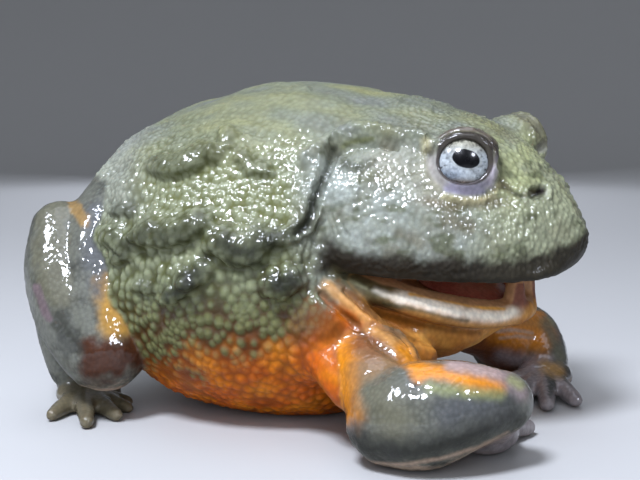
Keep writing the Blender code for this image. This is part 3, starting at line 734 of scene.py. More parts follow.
def marked(colour, marks, cover):
    """The colour with markings laid on it. cover gives how strongly a line with a reach covers each point."""
    for tone, strength, reach, line in marks.values():
        colour = mix(colour, tone, strength * cover(line, reach))
    return colour


# Markings of the body: colour, strength and reach in millimetres, then the line in the view
BODY_MARKS = {
    # Painted shade in the groove behind the jaw
    "groove behind the jaw": (DARK_SKIN_AND_SHADE, 0.85, 1.8, JAW_GROOVE_SHADE),
    "eardrum": (CHEEK, 0.8, 4.5, [(341, 182), (338, 198)]),
    "groove under the ridge": (FLANK_GREEN, 0.6, 1.2, [(372, 139), (351, 142), (343, 147)]),
    # Painted shade under the overhanging ridge over the eardrum
    "shade under the ridge": (DARK_SKIN_AND_SHADE, 0.6, 2.4, [(340, 158), (346, 163), (357, 167), (371, 163)]),
    # Painted shade at the corner of the mouth, partly dark skin
    "corner of the mouth": (LIP_BROWN_AND_SHADE, 0.7, 3.0, [(327, 262), (338, 268), (350, 268)]),
    # Painted shade in the fold before the eye
    "fold before the eye": (DARK_SKIN_AND_SHADE, 0.6, 1.2, FOLD_BEFORE_EYE),
    # Painted shade in the hole of the nostril
    "nostril": (NOSTRIL_SHADE, 1.0, 1.9, [(535, 193), (542, 191)]),
    "corner of the lower lip": (LIP_OLIVE, 0.9, 2.6, [(333, 273), (356, 284), (378, 295)]),
    "side before the arm": (BELLY_BROWN, 0.75, 7.5, [(300, 330), (322, 322), (334, 330)]),
    "light between the lumps": (FLANK_GRAIN, 0.4, 4.0, [(208, 272), (228, 280), (252, 284)]),
    "tan behind the eye": (HEAD_TAN, 0.45, 8.0, [(388, 163), (424, 172), (436, 190)]),
    "brown under the eye": (HEAD_BROWN, 0.7, 2.6, [(425, 200), (450, 206), (474, 203), (496, 202)]),
    "brown before the eye": (HEAD_BROWN, 0.6, 1.8, [(500, 182), (508, 188)]),
    "brown on the cheek": (HEAD_BROWN, 0.6, 3.2, [(446, 220), (470, 226)]),
    "brown on the lower cheek": (HEAD_BROWN, 0.5, 3.0, [(400, 232), (420, 240)]),
    "brown before the nostril": (HEAD_BROWN, 0.6, 1.4, [(526, 194), (532, 191)]),
    "strip of the neck": (LIP_OCHRE, 0.75, 2.8, [(328, 285), (346, 300), (368, 320), (388, 338)]),
    # Painted shade in the grooves over and under the strip of the neck
    "groove over the strip": (THROAT_GROOVE_SHADE, 0.6, 1.4, [(338, 282), (358, 300), (376, 316)]),
    "groove under the strip": (THROAT_GROOVE_SHADE, 0.6, 1.4, [(318, 288), (336, 306), (358, 326), (378, 342)]),
}

# The line of the fang of the lower jaw, mirrored like the rest
FANGS = [(56.8, -4.2, 30.0), (57.3, -4.0, 38.5)]

# Markings of the lower jaw and throat
JAW_MARKS = {
    "corner of the lower lip": (LIP_OLIVE, 0.9, 2.4, [(335, 272), (356, 283), (376, 293)]),
    "edge of the lower lip": (LIP_PALE, 0.6, 0.8, [(336, 266), (347, 279), (366, 288)]),
    "start of the cream band": (LIP_CREAM, 0.45, 1.4, [(376, 290), (388, 295), (402, 299)]),
    "cream band": (LIP_CREAM, 0.97, 3.3, CREAM_BAND),
    "mottles of the lip": (LIP_OLIVE, 0.8, 1.1, [(384, 304), (404, 307), (424, 312), (445, 318), (468, 321)]),
    "yellow line": (LIP_YELLOW, 0.9, 0.8, YELLOW_LINE),
    "ochre edge": (LIP_OCHRE, 0.85, 1.5, [(404, 313), (436, 319), (458, 325), (490, 328), (516, 322)]),
    # Painted shade in the groove under the jaw
    "shade in the groove under the jaw": (THROAT_GROOVE_SHADE, 0.6, 1.5, UNDER_JAW),
    "strip under the jaw": (LIP_OCHRE, 0.6, 2.0, JAW_STRIP),
    # Painted shade in the grooves above and below the strip
    "groove above the strip": (THROAT_GROOVE_SHADE, 0.65, 1.5, ABOVE_STRIP),
    "groove below the strip": (THROAT_GROOVE_SHADE, 0.65, 1.5, BELOW_STRIP),
}

# Where the orange of the belly begins: how far down the view it starts, at places across the view
ORANGE_STARTS = {60: 356, 110: 356, 150: 358, 200: 354, 250: 346, 300: 322, 330: 296, 350: 276}


def paint_body(skin, grain):
    across, down = skin.pixels.T
    streaks = noise(skin.mirrored * (0.45, 1.0, 1.0), 7.0, 31)
    broad = noise(skin.mirrored, 14.0, 3)
    patch = noise(skin.mirrored, 5.0, 11)
    colour = mix(BACK_OLIVE, BACK_YELLOW, 0.1 + 1.2 * streaks)
    colour = mix(colour, BACK_GREY, -0.1 - 1.3 * streaks + 0.7 * ramp(200.0, 120.0, across))
    x, y, z = skin.level.T
    flank = ramp(82.0, 62.0, z + 5.0 * broad) * ramp(26.0, 14.0, x)
    top = ramp(0.05, 0.7, grain)
    # The grains' tops are painted lighter and greyer than the yellow-green between them: partly their own
    # colour, partly painted light on the tops and painted shade between
    colour = mix(colour, mix(FLANK_GREEN, FLANK_GRAIN, 0.8 * top), flank * 0.9)
    colour = mix(colour, FLANK_DARK, flank * (0.25 * patch - 0.05))
    rump = ramp(165.0, 115.0, across) * ramp(235.0, 195.0, down)
    colour = mix(colour, RUMP_GREY, 0.45 * rump)
    below = down - looked_up(ORANGE_STARTS, across) + 22.0 * broad + 18.0 * patch
    low = ramp(-95.0, -25.0, below) * flank
    # Low on the flank the brown between the green grains is painted darker: partly its own colour, partly
    # painted shade between the grains
    colour = mix(colour, mix(VALLEY_LOW, FLANK_LOW, top), 0.85 * low)
    valleys = ramp(-70.0, -10.0, below) * (1.0 - 0.8 * top)
    colour = mix(colour, BELLY_BROWN, 0.8 * valleys * flank)
    behind = np.maximum(ramp(30.0, 18.0, x), ramp(36.0, 39.0, -y))
    belly = ramp(-14.0, 22.0, below + 16.0 * (0.5 - grain)) * behind
    colour = mix(colour, mix(BELLY_ORANGE, BELLY_YELLOW, 0.25 + patch), belly)
    return paint_head(skin, colour, patch)


def paint_head(skin, colour, patch):
    x, y, z = skin.level.T
    head = ramp(14.0, 24.0, x + 0.25 * (z - 50.0)) * ramp(36.0, 42.0, z)
    side = ramp(80.0, 66.0, z) * head
    mottle = noise(skin.mirrored, 2.6, 37)
    colour = mix(colour, HEAD_SIDE, 0.9 * side)
    colour = mix(colour, CHEEK, side * (0.45 + 0.9 * patch) * ramp(62.0, 46.0, x))
    colour = mix(colour, SNOUT, ramp(52.0, 62.0, x) * head * 0.8)
    colour = mix(colour, LIP_BROWN_AND_SHADE, head * side * (-0.15 + 0.9 * mottle))
    yellow = ramp(46.0, 56.0, x) * ramp(54.0, 66.0, z) * ramp(-0.5, 0.4, patch)
    colour = mix(colour, SNOUT_YELLOW, 0.45 * yellow)
    broad = noise(skin.mirrored, 6.5, 43)
    colour = mix(colour, HEAD_BROWN, head * ramp(84.0, 74.0, z) * 0.7 * broad)
    flecks = noise(skin.mirrored * (0.6, 0.6, 1.0), 2.4, 61)
    colour = mix(colour, HEAD_OLIVE, 0.75 * head * ramp(80.0, 68.0, z) * ramp(0.05, 0.5, flecks))
    # A dark band along the upper lip: partly dark skin, partly painted shade under the snout
    over_lip = z - looked_up(LIP_HEIGHT, x)
    band = ramp(8.5, 4.5, over_lip + 2.5 * patch + 1.5 * mottle) * ramp(-3.0, -1.0, over_lip)
    colour = mix(colour, LIP_BROWN_AND_SHADE, 0.96 * band * ramp(18.0, 24.0, x))
    below = ramp(41.0, 38.0, z) * ramp(22.0, 30.0, x) * ramp(40.0, 36.0, -y)
    return mix(colour, mix(THROAT, THROAT_LIGHT, 0.2 + 0.8 * patch), below * skin.body)


# Along the body: half the width of the mouth inside the lips, below and above its middle, and the heights of
# its middle, of the upper lip's edge, of its floor and of its roof
MOUTH_HALF_BELOW = {22: 33.2, 33: 32.2, 43: 27.0, 51: 19.4, 56: 11.2, 59.5: 4.0, 61: 0.0}
MOUTH_HALF_ABOVE = {24: 36.0, 36: 33.6, 46: 29.4, 55: 23.8, 63: 16.4, 69: 7.0, 72: 0.0}
MOUTH_MIDDLE = {22: 45.8, 33: 43.4, 43: 41.0, 51: 39.2, 56: 38.0, 62: 37.4, 72: 37.4}
LIP_HEIGHT = {24: 44.9, 36: 43.6, 46: 42.6, 55: 41.6, 63: 40.9, 69: 41.2, 73: 44.4}
MOUTH_FLOOR = {22: 38.0, 36: 34.0, 44: 30.5, 50.5: 27.5, 60.0: 27.5}
MOUTH_ROOF = {22: 54.0, 38: 53.5, 50: 51.0, 58: 49.0, 72: 47.0}


def looked_up(table, x):
    """Values between those of a table of places and values."""
    return np.interp(x, list(table), list(table.values()))


def mouth_inside(skin):
    """1 inside the mouth, behind the lips, and 0 outside it."""
    x, y, z = skin.level.T
    lower = z < looked_up(MOUTH_MIDDLE, x)
    half = np.where(lower, looked_up(MOUTH_HALF_BELOW, x), looked_up(MOUTH_HALF_ABOVE, x))
    depth = half - np.abs(y)
    between = (z > looked_up(MOUTH_FLOOR, x)) & (z < looked_up(MOUTH_ROOF, x)) & (x > 22.0)
    return ramp(0.0, 1.2, depth) * between * skin.body


# Markings round the eye: colour, strength and reach, then the line, forward and up from the eye's axis
EYE_MARKS = {
    "brow": (LID_BROW, 0.85, 1.8, [(-5.6, 6.3), (-2.1, 8.0), (3.3, 7.8), (6.6, 5.6), (7.9, 3.0), (7.9, 1.0)]),
    "pale skin behind": (HEAD_TAN, 0.5, 2.4, [(-8.8, 3.5), (-8.6, 0.0), (-7.9, -3.4), (-5.6, -6.2)]),
    "pale patch behind": (LID_CREAM, 0.7, 2.0, [(-9.2, 5.0), (-9.0, 3.0)]),
    "lilac under the eye": (LID_LILAC, 0.9, 1.6, [(-3.6, -6.4), (-1.0, -6.9), (2.4, -7.0), (4.8, -6.4)]),
    "cream edge": (LID_CREAM, 0.6, 1.5, [(-4.2, -8.2), (0.5, -8.8), (4.8, -8.6), (7.6, -6.8), (8.6, -5.0)]),
    "pale front corner": (LID_WHITE, 0.9, 2.1, [(7.0, -1.4), (6.8, -3.2), (6.4, -4.6)]),
    "dark front of the brow": (LID_DARK, 0.9, 2.3, [(6.8, 5.0), (8.2, 2.6), (8.3, 1.0)]),
}


# How strong the markings round the left eye are, against those round the right
FAR_LID_SHARE = 0.45


def paint_lids(skin, colour):
    across, rise, along = eye_coordinates(skin.mirrored)
    near = np.where(skin.points[:, 1] < 0.0, 1.0, FAR_LID_SHARE)
    colour = marked(colour, EYE_MARKS, lambda line, reach: eye_stroke(skin, line, reach) * near)
    front = ramp(-2.0, 1.0, along) * skin.body * near
    return paint_margin(colour, across, rise - LID_MARGIN_RISE, front)


def paint_margin(colour, across, rise, front):
    """The dark margin of the lids and the pale bare skin next to it."""
    margin = np.hypot(across / LID_MARGIN_HALF[0], rise / LID_MARGIN_HALF[1])
    bare = ramp(1.45, 1.2, margin) * front
    colour = mix(colour, LID_WHITE, 0.3 * bare * ramp(3.0, 0.0, rise))
    under = ramp(-3.0, -5.5, rise) * ramp(-5.0, -2.0, across)
    colour = mix(colour, LID_LILAC, 0.8 * bare * under)
    thick = 1.01 + 0.20 * ramp(1.0, 5.0, rise) + 0.06 * ramp(0.0, 5.0, across)
    return mix(colour, LID_DARK, 0.92 * ramp(0.04, -0.02, margin - thick) * front)


# Markings of the arms and hind legs. The near arm's are mirrored to the far one, which then has its own
NEAR_ARM_MARKS = {
    "top of the upper arm": (AXILLA, 0.9, 6.5, [(334, 330), (340, 345), (352, 336), (372, 338)]),
    "strip over the arm": (LIP_OCHRE, 0.85, 2.0, [(362, 321), (378, 332), (394, 342), (409, 352)]),
    # Painted shade in the groove under the strip
    "groove under the strip": (THROAT_GROOVE_SHADE, 0.75, 1.3, [(352, 328), (370, 342), (388, 353), (402, 361)]),
    "back of the arm": (LIMB_ORANGE, 1.0, 5.4, [(338, 345), (337, 375), (341, 398), (345, 414)]),
    "light of the forearm": (LIMB_OLIVE, 0.85, 7.5, [(380, 400), (392, 424)]),
    "blue of the forearm": (LIMB_BLUE, 0.8, 7.0, [(455, 410), (500, 402)]),
    # Painted shade on the underside of the forearm
    "shade under the forearm": (LIMB_DARK, 0.95, 4.6, FOREARM_UNDERSIDE_SHADE),
    # A painted rim light along the forearm's lower edge
    "rim light under the forearm": (LIMB_PALE, 0.6, 0.7, FOREARM_RIM_LIGHT),
    "crook": (LIMB_ORANGE, 0.95, 2.8, [(404, 350), (413, 362), (420, 374)]),
    "band along the forearm": (LIMB_ORANGE, 0.95, 2.9, [(420, 370), (440, 373), (470, 381), (498, 385)]),
    "green border": (LIMB_GREEN, 0.55, 2.2, [(430, 387), (460, 391), (499, 395)]),
    "pink of the palm": (LID_PINK, 0.9, 2.4, [(452, 364), (475, 368), (502, 375)]),
    "wrist": (HAND_VIOLET, 0.85, 3.0, [(508, 378), (522, 392)]),
    "light of the wrist": (LIMB_GREEN, 0.6, 1.8, [(512, 380), (520, 385)]),
}
FAR_ARM_MARKS = {
    "upper arm": (LIMB_ORANGE, 0.95, 7.0, [(505, 332), (536, 338)]),
    "pale crease": (LIMB_PALE, 0.8, 0.9, [(496, 331), (514, 330), (532, 333)]),
    "second crease": (LIMB_PALE, 0.7, 0.8, [(500, 338), (518, 336), (534, 338)]),
    "outer edge": (LIMB_OLIVE, 0.8, 2.6, [(545, 325), (556, 345), (561, 360)]),
    "inside of the forearm": (HAND_LILAC, 0.8, 3.5, [(500, 356), (528, 362)]),
    "wrist": (LIMB_OCHRE, 0.85, 3.0, [(545, 366), (558, 372)]),
}
LEG_MARKS = {
    "shank": (LIMB_OLIVE, 0.8, 8.0, [(52, 215), (48, 250), (56, 290)]),
    "thigh": (LIMB_BLUE, 0.8, 8.0, [(108, 215), (98, 250), (108, 285)]),
    "top of the shank": (LIMB_OCHRE, 0.55, 2.6, [(74, 205), (84, 221)]),
    "knee": (LIMB_OCHRE, 0.95, 8.5, [(116, 298), (120, 322)]),
    "under the knee": (LIMB_BROWN, 0.97, 8.5, [(98, 360), (116, 358), (134, 352)]),
    "wrinkles before the knee": (LIMB_DARK, 0.7, 4.5, [(60, 316), (72, 345)]),
    "pink strip": (TOE_PURPLE, 0.8, 2.0, [(36, 288), (48, 318)]),
}


def paint_limbs(skin, colour, grain):
    patch = noise(skin.points, 4.0, 23)
    under = ramp(-0.65, -0.95, skin.normals[:, 2] + 0.2 * patch)
    limb = mix(LIMB_GREY, LIMB_DARK, 0.22 + patch - 0.3 * grain)
    limb = mix(limb, LIMB_PALE, 0.7 * under)
    arm = skin.soft_region("upper_arm", rounds=120)
    limb = mix(limb, LIMB_TAN, ramp(0.1, 0.9, arm))
    limb = mix(limb, AXILLA, arm * ramp(0.3, -0.3, skin.normals[:, 2] + 0.3 * patch))
    limb = mix(limb, HAND_LILAC, 0.7 * skin.soft_region("hand", rounds=30))
    limb = mix(limb, TOE_BROWN, 0.8 * skin.soft_region("foot", rounds=20))
    leg = skin.strokes(1.0, 0.4)
    limb = marked(limb, LEG_MARKS, lambda line, reach: ramp(0.0, 0.75, leg(line, reach)))
    arms = skin.soft_region("upper_arm", "forearm", "hand", rounds=8)
    far = arms * (skin.points[:, 1] > 0.0)
    limb = marked(limb, NEAR_ARM_MARKS, skin.strokes(arms, 0.25, 1.15))
    limb = marked(limb, FAR_ARM_MARKS, skin.strokes(far, 0.25, 1.15, both_sides=False))
    return mix(colour, limb, skin.limb)


def wetness(skin, inside):
    """How thick a film of water lies on each point: thin on top of the back, thick on the flanks and head."""
    x, _, z = skin.level.T
    back = ramp(68.0, 80.0, z) * ramp(40.0, 26.0, x)
    rump = ramp(-30.0, -52.0, x) * ramp(50.0, 66.0, z)
    belly = ramp(32.0, 20.0, z) * skin.body
    lip = ramp(9.0, 5.0, z - looked_up(LIP_HEIGHT, x)) * ramp(18.0, 26.0, x) * skin.body
    under = ramp(0.15, -0.4, skin.normals[:, 2])
    dry = 0.75 * np.maximum(back, rump) + 0.35 * belly + 0.3 * lump_cover(skin) + 0.8 * lip + 0.9 * under
    dry += 0.75 * skin.soft_region("lower_jaw", rounds=6)
    return np.clip(1.0 - dry + 0.25 * noise(skin.mirrored, 6.0, 95) + inside, 0.04, 1.0)


def set_colour(mesh, colour, wet):
    layer = mesh.color_attributes.new("Tone", "FLOAT_COLOR", "POINT")
    rgba = np.ones((len(colour), 4), np.float32)
    rgba[:, :3] = colour
    layer.data.foreach_set("color", rgba.ravel())
    film = mesh.attributes.new("Wet", "FLOAT", "POINT")
    film.data.foreach_set("value", np.full(len(colour), wet, np.float32))


def bumps(tree, place, scale, height):
    """Fine bumps of a scale in features a metre and a height in metres: their pattern and their normal."""
    pattern = tree.nodes.new("ShaderNodeTexNoise")
    pattern.inputs["Scale"].default_value = scale
    pattern.inputs["Detail"].default_value = 2.0
    bump = tree.nodes.new("ShaderNodeBump")
    bump.inputs["Strength"].default_value = 1.0
    bump.inputs["Distance"].default_value = height
    tree.links.new(place.outputs["Object"], pattern.inputs["Vector"])
    tree.links.new(pattern.outputs["Fac"], bump.inputs["Height"])
    return pattern.outputs["Fac"], bump.outputs["Normal"]


def painted_value(tree, name):
    node = tree.nodes.new("ShaderNodeAttribute")
    node.attribute_name = name
    return node.outputs


def wet_material(name, pores, ripples, roughness, coat_roughness, subsurface):
    """A wet skin with the colour of its points: fine pores, and ripples in the film of water over them."""
    material = bpy.data.materials.new(name)
    material.use_nodes = True
    tree = material.node_tree
    shader = tree.nodes["Principled BSDF"]
    tone = painted_value(tree, "Tone")
    film = painted_value(tree, "Wet")
    place = tree.nodes.new("ShaderNodeTexCoord")
    pattern, normal = bumps(tree, place, *pores)
    _, water = bumps(tree, place, *ripples)
    rough = tree.nodes.new("ShaderNodeMapRange")
    rough.inputs["To Min"].default_value = roughness - 0.15
    rough.inputs["To Max"].default_value = roughness + 0.15
    tree.links.new(pattern, rough.inputs["Value"])
    tree.links.new(rough.outputs["Result"], shader.inputs["Roughness"])
    tree.links.new(tone["Color"], shader.inputs["Base Color"])
    tree.links.new(normal, shader.inputs["Normal"])
    tree.links.new(water, shader.inputs["Coat Normal"])
    tree.links.new(film["Fac"], shader.inputs["Coat Weight"])
    shader.inputs["Specular IOR Level"].default_value = 0.18
    shader.inputs["Coat Roughness"].default_value = coat_roughness
    shader.inputs["Subsurface Weight"].default_value = subsurface
    shader.inputs["Subsurface Radius"].default_value = (1.0, 0.5, 0.3)
    shader.inputs["Subsurface Scale"].default_value = 0.001
    return material


def in_frame(points):
    return (points + ORIGIN) * MM


def finished_piece(name, mesh, points, material, replaced):
    mesh.vertices.foreach_set("co", in_frame(points).astype(np.float32).ravel())
    mesh.polygons.foreach_set("use_smooth", np.ones(len(mesh.polygons), bool))
    mesh.materials.clear()
    mesh.materials.append(material)
    mesh.update()
    piece = linked(name, mesh)
    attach(piece, "root")
    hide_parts(*replaced)


# Where a limb's skin runs on into the body's: the middle of the place, left of the body, and its reach
JOINTS = {
    "shoulder": ((26.0, 33.0, 26.0), 15.0),
    "hip": ((-46.0, 24.0, 52.0), 22.0),
    "knee": ((-42.0, 44.0, 20.0), 12.0),
    "elbow": ((38.0, 45.0, 15.0), 13.0),
}


def smooth_skin(skin):
    """Takes the facets and seams of the solids out of the skin, least where its forms are finest."""
    across, rise, along = eye_coordinates(skin.mirrored)
    away = np.hypot(across, rise)
    upper = ramp(-1.0, 2.0, rise + 0.5 * across)
    eye = (1.0 - ramp(7.0 + 2.5 * upper, 8.2 + 3.6 * upper, away)) * ramp(-4.0, 0.0, along)
    lips = np.isin(skin.part, region("lower_jaw")) | ((skin.level[:, 0] > 22.0) & (skin.level[:, 2] < 52.0))
    lips = smoothed(lips.astype(float), skin.edges, 20, 0.5)
    fine = np.maximum(np.maximum(eye, lips), skin.limb)
    joints = np.zeros(len(skin.points))
    for place, reach in JOINTS.values():
        gap = np.linalg.norm(skin.level - np.array(place) * (1, -1, 1), axis=1)
        joints = np.maximum(joints, 1.0 - ramp(0.6 * reach, reach, gap))
    skin.smooth(12, 0.5)
    skin.smooth(110, 0.5 * (1.0 - 0.94 * fine * (1.0 - joints)))


# How far apart the grains lie, in millimetres: low and high on the flank, on the head, back and limbs
GRAIN_SPACING = (2.75, 1.75, 1.5, 1.7, 1.3)


def sculpt_grain(skin, inside):
    """Raises the skin's grains and small unevenness, and gives how far up its grain each point lies."""
    x, _, z = skin.level.T
    head = ramp(14.0, 24.0, x) * skin.body
    low = ramp(66.0, 50.0, z) * (1.0 - head) * skin.body
    high = ramp(84.0, 72.0, z) * (1.0 - low) * (1.0 - head) * skin.body
    back = np.clip(1.0 - low - high - head - skin.limb, 0.0, 1.0)
    parts = (low, high, head, back, skin.limb)
    spacing = sum(apart * part for apart, part in zip(GRAIN_SPACING, parts))
    spacing = spacing * (1.0 + 0.22 * noise(skin.mirrored, 5.0, 66))
    dome, own = granules(skin.points, spacing, skin.point_area(), 7)
    chin = ramp(42.0, 38.0, z) * head
    lip = ramp(3.5, 1.0, z - looked_up(LIP_HEIGHT, x)) * head
    belly = ramp(30.0, 12.0, z) * low
    rise = 0.85 * low * (1.0 - 0.45 * belly) + 0.45 * high + 0.12 * back + 0.08 * skin.limb
    rise += 0.36 * head * (1.0 - 0.85 * chin) * (1.0 - 0.8 * lip)
    rise *= 0.6 + 0.8 * own
    rise *= 1.0 - 0.55 * lump_cover(skin)
    height = rise * (dome - 0.5)
    height += 0.35 * noise(skin.mirrored, 6.0, 70) * skin.body + 0.10 * noise(skin.mirrored, 2.2, 75)
    above_floor = ramp(0.3, 2.5, skin.points[:, 2])
    across, up, along = eye_coordinates(skin.mirrored)
    lids = (1.0 - ramp(7.2, 9.4, np.hypot(across, up))) * ramp(-4.0, 0.0, along)
    skin.move(height * above_floor * (1.0 - 0.8 * inside) * (1.0 - 0.9 * lids))
    return dome * (0.8 + 0.4 * own)


def paint_skin(skin, grain, inside):
    x, _, z = skin.level.T
    colour = paint_body(skin, grain)
    # The dark patch on each lump's underside, above its lower edge: painted shade, partly dark skin
    for _, reach, shade, line in LUMPS.values():
        raised = np.subtract(line, (0.0, LUMP_SHADE * reach))
        cover = skin.stroke(raised, 0.95 * reach, ragged=0.35)
        colour = mix(colour, DARK_SKIN_AND_SHADE, 0.95 * shade * cover * skin.body)
    colour = marked(colour, BODY_MARKS, skin.strokes(skin.body, 0.4))
    lip = skin.soft_region("lower_jaw", rounds=6) * ramp(33.0, 36.0, z)
    colour = mix(colour, LIP_OCHRE, lip)
    colour = mix(colour, LIP_OLIVE, 0.9 * lip * ramp(42.0, 34.0, x))
    jaw = skin.soft_region("lower_jaw", "throat", rounds=6)
    colour = marked(colour, JAW_MARKS, skin.strokes(jaw, 0.2))
    fangs = ramp(4.6, 3.2, line_distance(skin.level, FANGS))
    colour = mix(colour, MOUTH_PINK, 0.9 * fangs * ramp(29.0, 33.0, z))
    colour = paint_lids(skin, colour)
    colour = paint_limbs(skin, colour, grain)
    colour = mix(colour, MOUTH, inside)
    # Each point darker between the grains and lighter on their tops, most low on the flank: painted shade
    # between the grains and painted light on their tops
    low = ramp(62.0, 40.0, z) * ramp(26.0, 16.0, x) * skin.body
    depth = 0.26 + 0.30 * low
    fleck = 1.0 + 0.16 * noise(skin.mirrored, 1.8, 53) * skin.body
    return colour * ((1.08 - depth + depth * grain) * fleck)[:, None]


def make_skin():
    skin = Skin()
    smooth_skin(skin)
    sculpt_folds(skin)
    sculpt_arm(skin)
    sculpt_throat(skin)
    sculpt_lids(skin)
    inside = mouth_inside(skin)
    grain = sculpt_grain(skin, inside)
    colour = paint_skin(skin, grain, inside)
    skin.points[:, 2] = np.maximum(skin.points[:, 2], -ORIGIN[2])
    set_colour(skin.mesh, colour, wetness(skin, inside))
    material = wet_material("Wet skin", (2600.0, 0.00008), (1000.0, 0.00004), 0.55, 0.06, 0.03)
    finished_piece("skin", skin.mesh, skin.points, material, FLESH)


def ring(distance, radius, reach):
    """1 at a radius, and 0 further from it than the reach."""
    return 1.0 - ramp(0.0, reach, np.abs(distance - radius))


IRIS_SILVER = screen(170, 177, 180)
IRIS_CREAM_AND_REFLECTION = screen(152, 150, 134)
IRIS_BLUE = screen(126, 138, 152)
IRIS_GOLD = screen(128, 98, 60)
PUPIL = screen(6, 6, 8)
EYE_RIM = screen(40, 34, 34)


# How many rows and columns of points an eyeball has, and how thick the water lies on it
EYE_ROWS, EYE_COLUMNS = 160, 240
EYE_FILM = 0.5


def make_eye(side):
    """A smooth eyeball with a silvery iris and a pupil that is wider than it is high."""
    forward, up, axis = eye_axes(side)
    lean = np.linspace(0.0, np.pi, EYE_ROWS + 1)[1:-1]
    turn = np.linspace(0.0, 2 * np.pi, EYE_COLUMNS, endpoint=False)
    lean, turn = (grid.ravel() for grid in np.meshgrid(lean, turn, indexing="ij"))
    across, rise = np.sin(lean) * np.cos(turn), np.sin(lean) * np.sin(turn)
    points = across[:, None] * forward + rise[:, None] * up + np.cos(lean)[:, None] * axis
    points = np.vstack([points, [axis, -axis]]) * EYE_RADIUS + eye_centre(side)
    pole, last = (EYE_ROWS - 1) * EYE_COLUMNS, (EYE_ROWS - 2) * EYE_COLUMNS
    beside = [(column, (column + 1) % EYE_COLUMNS) for column in range(EYE_COLUMNS)]
    faces = []
    for start in range(0, last, EYE_COLUMNS):
        below = start + EYE_COLUMNS
        faces.extend((start + a, below + a, below + b, start + b) for a, b in beside)
    for a, b in beside:
        faces.extend([(pole, a, b), (pole + 1, last + b, last + a)])
    if side > 0:
        faces = [face[::-1] for face in faces]
    mesh = bpy.data.meshes.new("eyeball")
    mesh.from_pydata(points.tolist(), [], faces)
    offset = points - eye_centre(side)
    set_colour(mesh, iris_colour(offset @ forward, offset @ up, offset @ axis), EYE_FILM)
    where = "left" if side > 0 else "right"
    material = wet_material("Wet eye " + where, (900.0, 0.00002), (60.0, 0.00001), 0.3, 0.02, 0.0)
    finished_piece("eyeball_" + where, mesh, points, material, ["eye_" + where])


# The pupil, forward and up from the eye's axis: its middle, half its width and height, and its tilt
PUPIL_CENTRE = (0.4, 0.75)
PUPIL_HALF = (3.2, 2.15)
PUPIL_TILT = math.radians(-10.0)
IRIS_RADIUS = 6.3


def iris_colour(across, rise, along):
    flat = np.stack([across, rise, along], axis=1)
    x, y = across - PUPIL_CENTRE[0], rise - PUPIL_CENTRE[1]
    c, s = math.cos(PUPIL_TILT), math.sin(PUPIL_TILT)
    x, y = x * c + y * s, -x * s + y * c
    pupil = np.hypot(x / PUPIL_HALF[0], y / PUPIL_HALF[1]) + 0.04 * noise(flat, 1.0, 5)
    radius = np.hypot(across, rise)
    # The top of the iris is painted cream: a painted reflection along it
    colour = mix(IRIS_SILVER, IRIS_CREAM_AND_REFLECTION, ramp(1.0, 4.5, rise))
    colour = mix(colour, IRIS_BLUE, 0.8 * ramp(-0.5, -3.5, rise) * ramp(2.5, -3.0, across))
    colour = mix(colour, IRIS_GOLD, 0.7 * ramp(-3.4, -5.0, rise))
    threads = noise(flat * (1.0, 1.0, 0.2), 0.8, 9, 3)
    veins = noise(flat * (1.0, 1.0, 0.2), 0.5, 19, 2)
    colour = colour * (0.85 + 0.8 * threads)[:, None]
    colour = mix(colour, EYE_RIM, 0.9 * ramp(0.15, 0.55, veins) * ramp(2.5, 6.0, radius))
    colour = mix(colour, EYE_RIM, ramp(IRIS_RADIUS - 0.8, IRIS_RADIUS, radius + 0.4 * threads))
    colour = mix(colour, IRIS_CREAM_AND_REFLECTION, 0.4 * ring(pupil, 1.12, 0.10))
    colour = mix(colour, PUPIL, ramp(1.06, 0.98, pupil))
    return mix(colour, EYE_RIM, (along < 0).astype(float))


TONGUE_RED = screen(150, 74, 62)
TONGUE_PINK = screen(176, 110, 90)
# The size of the tongue's faces, and how far apart its grains lie
TONGUE_VOXEL = 0.35
TONGUE_GRAIN = 0.9


def make_tongue():
    work = bmesh.new()
    work.from_mesh(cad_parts["tongue"].data)
    bmesh.ops.remove_doubles(work, verts=work.verts, dist=MERGE_GAP)
    mesh = bpy.data.meshes.new("tongue_base")
    work.to_mesh(mesh)
    work.free()
    even = even_mesh(mesh, TONGUE_VOXEL * MM)
    edges = read(even, "edges", "vertices", 2, np.int32)
    points = read(even, "vertices", "co", 3).astype(float) / MM - ORIGIN
    points = smoothed(points, edges, 20, 0.5)
    normals = normals_of(even, points)
    dome, _ = granules(points, np.full(len(points), TONGUE_GRAIN), TONGUE_VOXEL**2, 80)
    points = points + normals * (0.12 * (dome - 0.5) + 0.2 * noise(points, 4.0, 85))[:, None]
    colour = mix(TONGUE_RED, TONGUE_PINK, 0.4 + 0.6 * noise(points, 3.0, 88))
    # Darker between the tongue's grains and lighter on their tops: painted shade and light on the grains
    set_colour(even, colour * (0.75 + 0.35 * dome)[:, None], 1.0)
    material = wet_material("Wet tongue", (2600.0, 0.00004), (1100.0, 0.00003), 0.4, 0.08, 0.15)
    finished_piece("tongue_piece", even, points, material, ["tongue"])


def make_camera():
    data = bpy.data.cameras.new("View")
    data.sensor_width = 36.0
    data.lens = FOCAL_PIXELS / IMAGE_SIZE[0] * data.sensor_width
    camera = linked("View", data)
    turn = Matrix([ACROSS, UPWARD, BACK]).transposed().to_4x4()
    camera.matrix_world = Matrix.Translation(in_frame(EYE_POINT)) @ turn
    bpy.context.scene.camera = camera


# The floor in metres: how far it lies flat, how far its wall is and how high it rises
FLOOR_FLAT, FLOOR_EDGE, FLOOR_RISE = 1.1, 2.0, 1.3
FLOOR_STEPS, FLOOR_AROUND = 24, 96


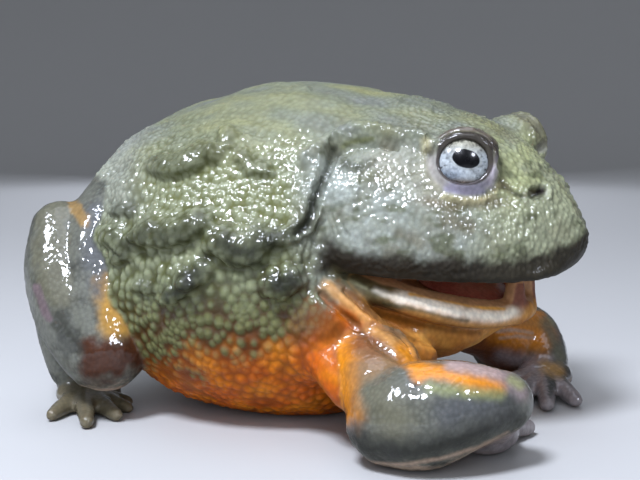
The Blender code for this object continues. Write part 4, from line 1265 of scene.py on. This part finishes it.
def make_floor():
    """A pale floor that curves up into a wall all round."""
    work = bmesh.new()
    rings = []
    profile = [(0.3, 0.0), (0.7, 0.0), (FLOOR_FLAT, 0.0)]
    for step in range(1, FLOOR_STEPS + 1):
        turn = step / FLOOR_STEPS * math.pi / 2
        reach = FLOOR_FLAT + (FLOOR_EDGE - FLOOR_FLAT) * math.sin(turn)
        profile.append((reach, FLOOR_RISE * (1.0 - math.cos(turn))))
    for radius, height in profile:
        around = [k / FLOOR_AROUND * math.tau for k in range(FLOOR_AROUND)]
        rings.append([work.verts.new((radius * math.cos(a), radius * math.sin(a), height)) for a in around])
    work.faces.new(rings[0])
    for inner, outer in zip(rings, rings[1:]):
        for k in range(FLOOR_AROUND):
            beside = (k + 1) % FLOOR_AROUND
            work.faces.new((inner[k], outer[k], outer[beside], inner[beside]))
    mesh = bpy.data.meshes.new("floor")
    work.to_mesh(mesh)
    work.free()
    mesh.polygons.foreach_set("use_smooth", np.ones(len(mesh.polygons), bool))
    material = bpy.data.materials.new("Pale floor")
    material.use_nodes = True
    shader = material.node_tree.nodes["Principled BSDF"]
    shader.inputs["Base Color"].default_value = (0.45, 0.45, 0.44, 1.0)
    shader.inputs["Roughness"].default_value = 0.8
    mesh.materials.append(material)
    linked("floor", mesh)


# The tint of the lights, and where they point, in metres
COOL = (0.90, 0.96, 1.12)
LIGHT_AIM = Vector((0.0, 0.0, 0.04))


def make_light(name, place, size, power):
    """A round soft light at a place in metres, turned to the frog."""
    data = bpy.data.lights.new(name, "AREA")
    data.shape = "DISK"
    data.size = size
    data.energy = power
    data.color = COOL
    light = linked(name, data)
    light.location = place
    light.rotation_euler = (Vector(place) - LIGHT_AIM).to_track_quat("Z", "Y").to_euler()
    return light


def make_lights():
    world = bpy.data.worlds.new("Studio")
    world.use_nodes = True
    background = world.node_tree.nodes["Background"]
    background.inputs["Color"].default_value = (0.95, 0.97, 1.0, 1.0)
    background.inputs["Strength"].default_value = 0.13
    bpy.context.scene.world = world
    bpy.context.scene.view_settings.view_transform = "Standard"
    make_light("Key", (0.02, -0.42, 0.60), 0.18, 7.0)
    make_light("Over", (-0.05, 0.00, 0.80), 0.70, 2.1)
    make_light("Front", (0.35, -0.90, 0.40), 1.00, 5.5).visible_glossy = False
    make_light("Glint_front", (0.46, -0.20, 0.36), 0.12, 1.6).visible_diffuse = False
    make_light("Glint_back", (-0.30, -0.32, 0.50), 0.14, 2.2).visible_diffuse = False
    make_light("Back", (-0.45, 0.80, 0.50), 1.00, 4.5).visible_glossy = False


make_camera()
make_floor()
make_lights()
make_skin()
make_eye(-1)
make_eye(1)
make_tongue()
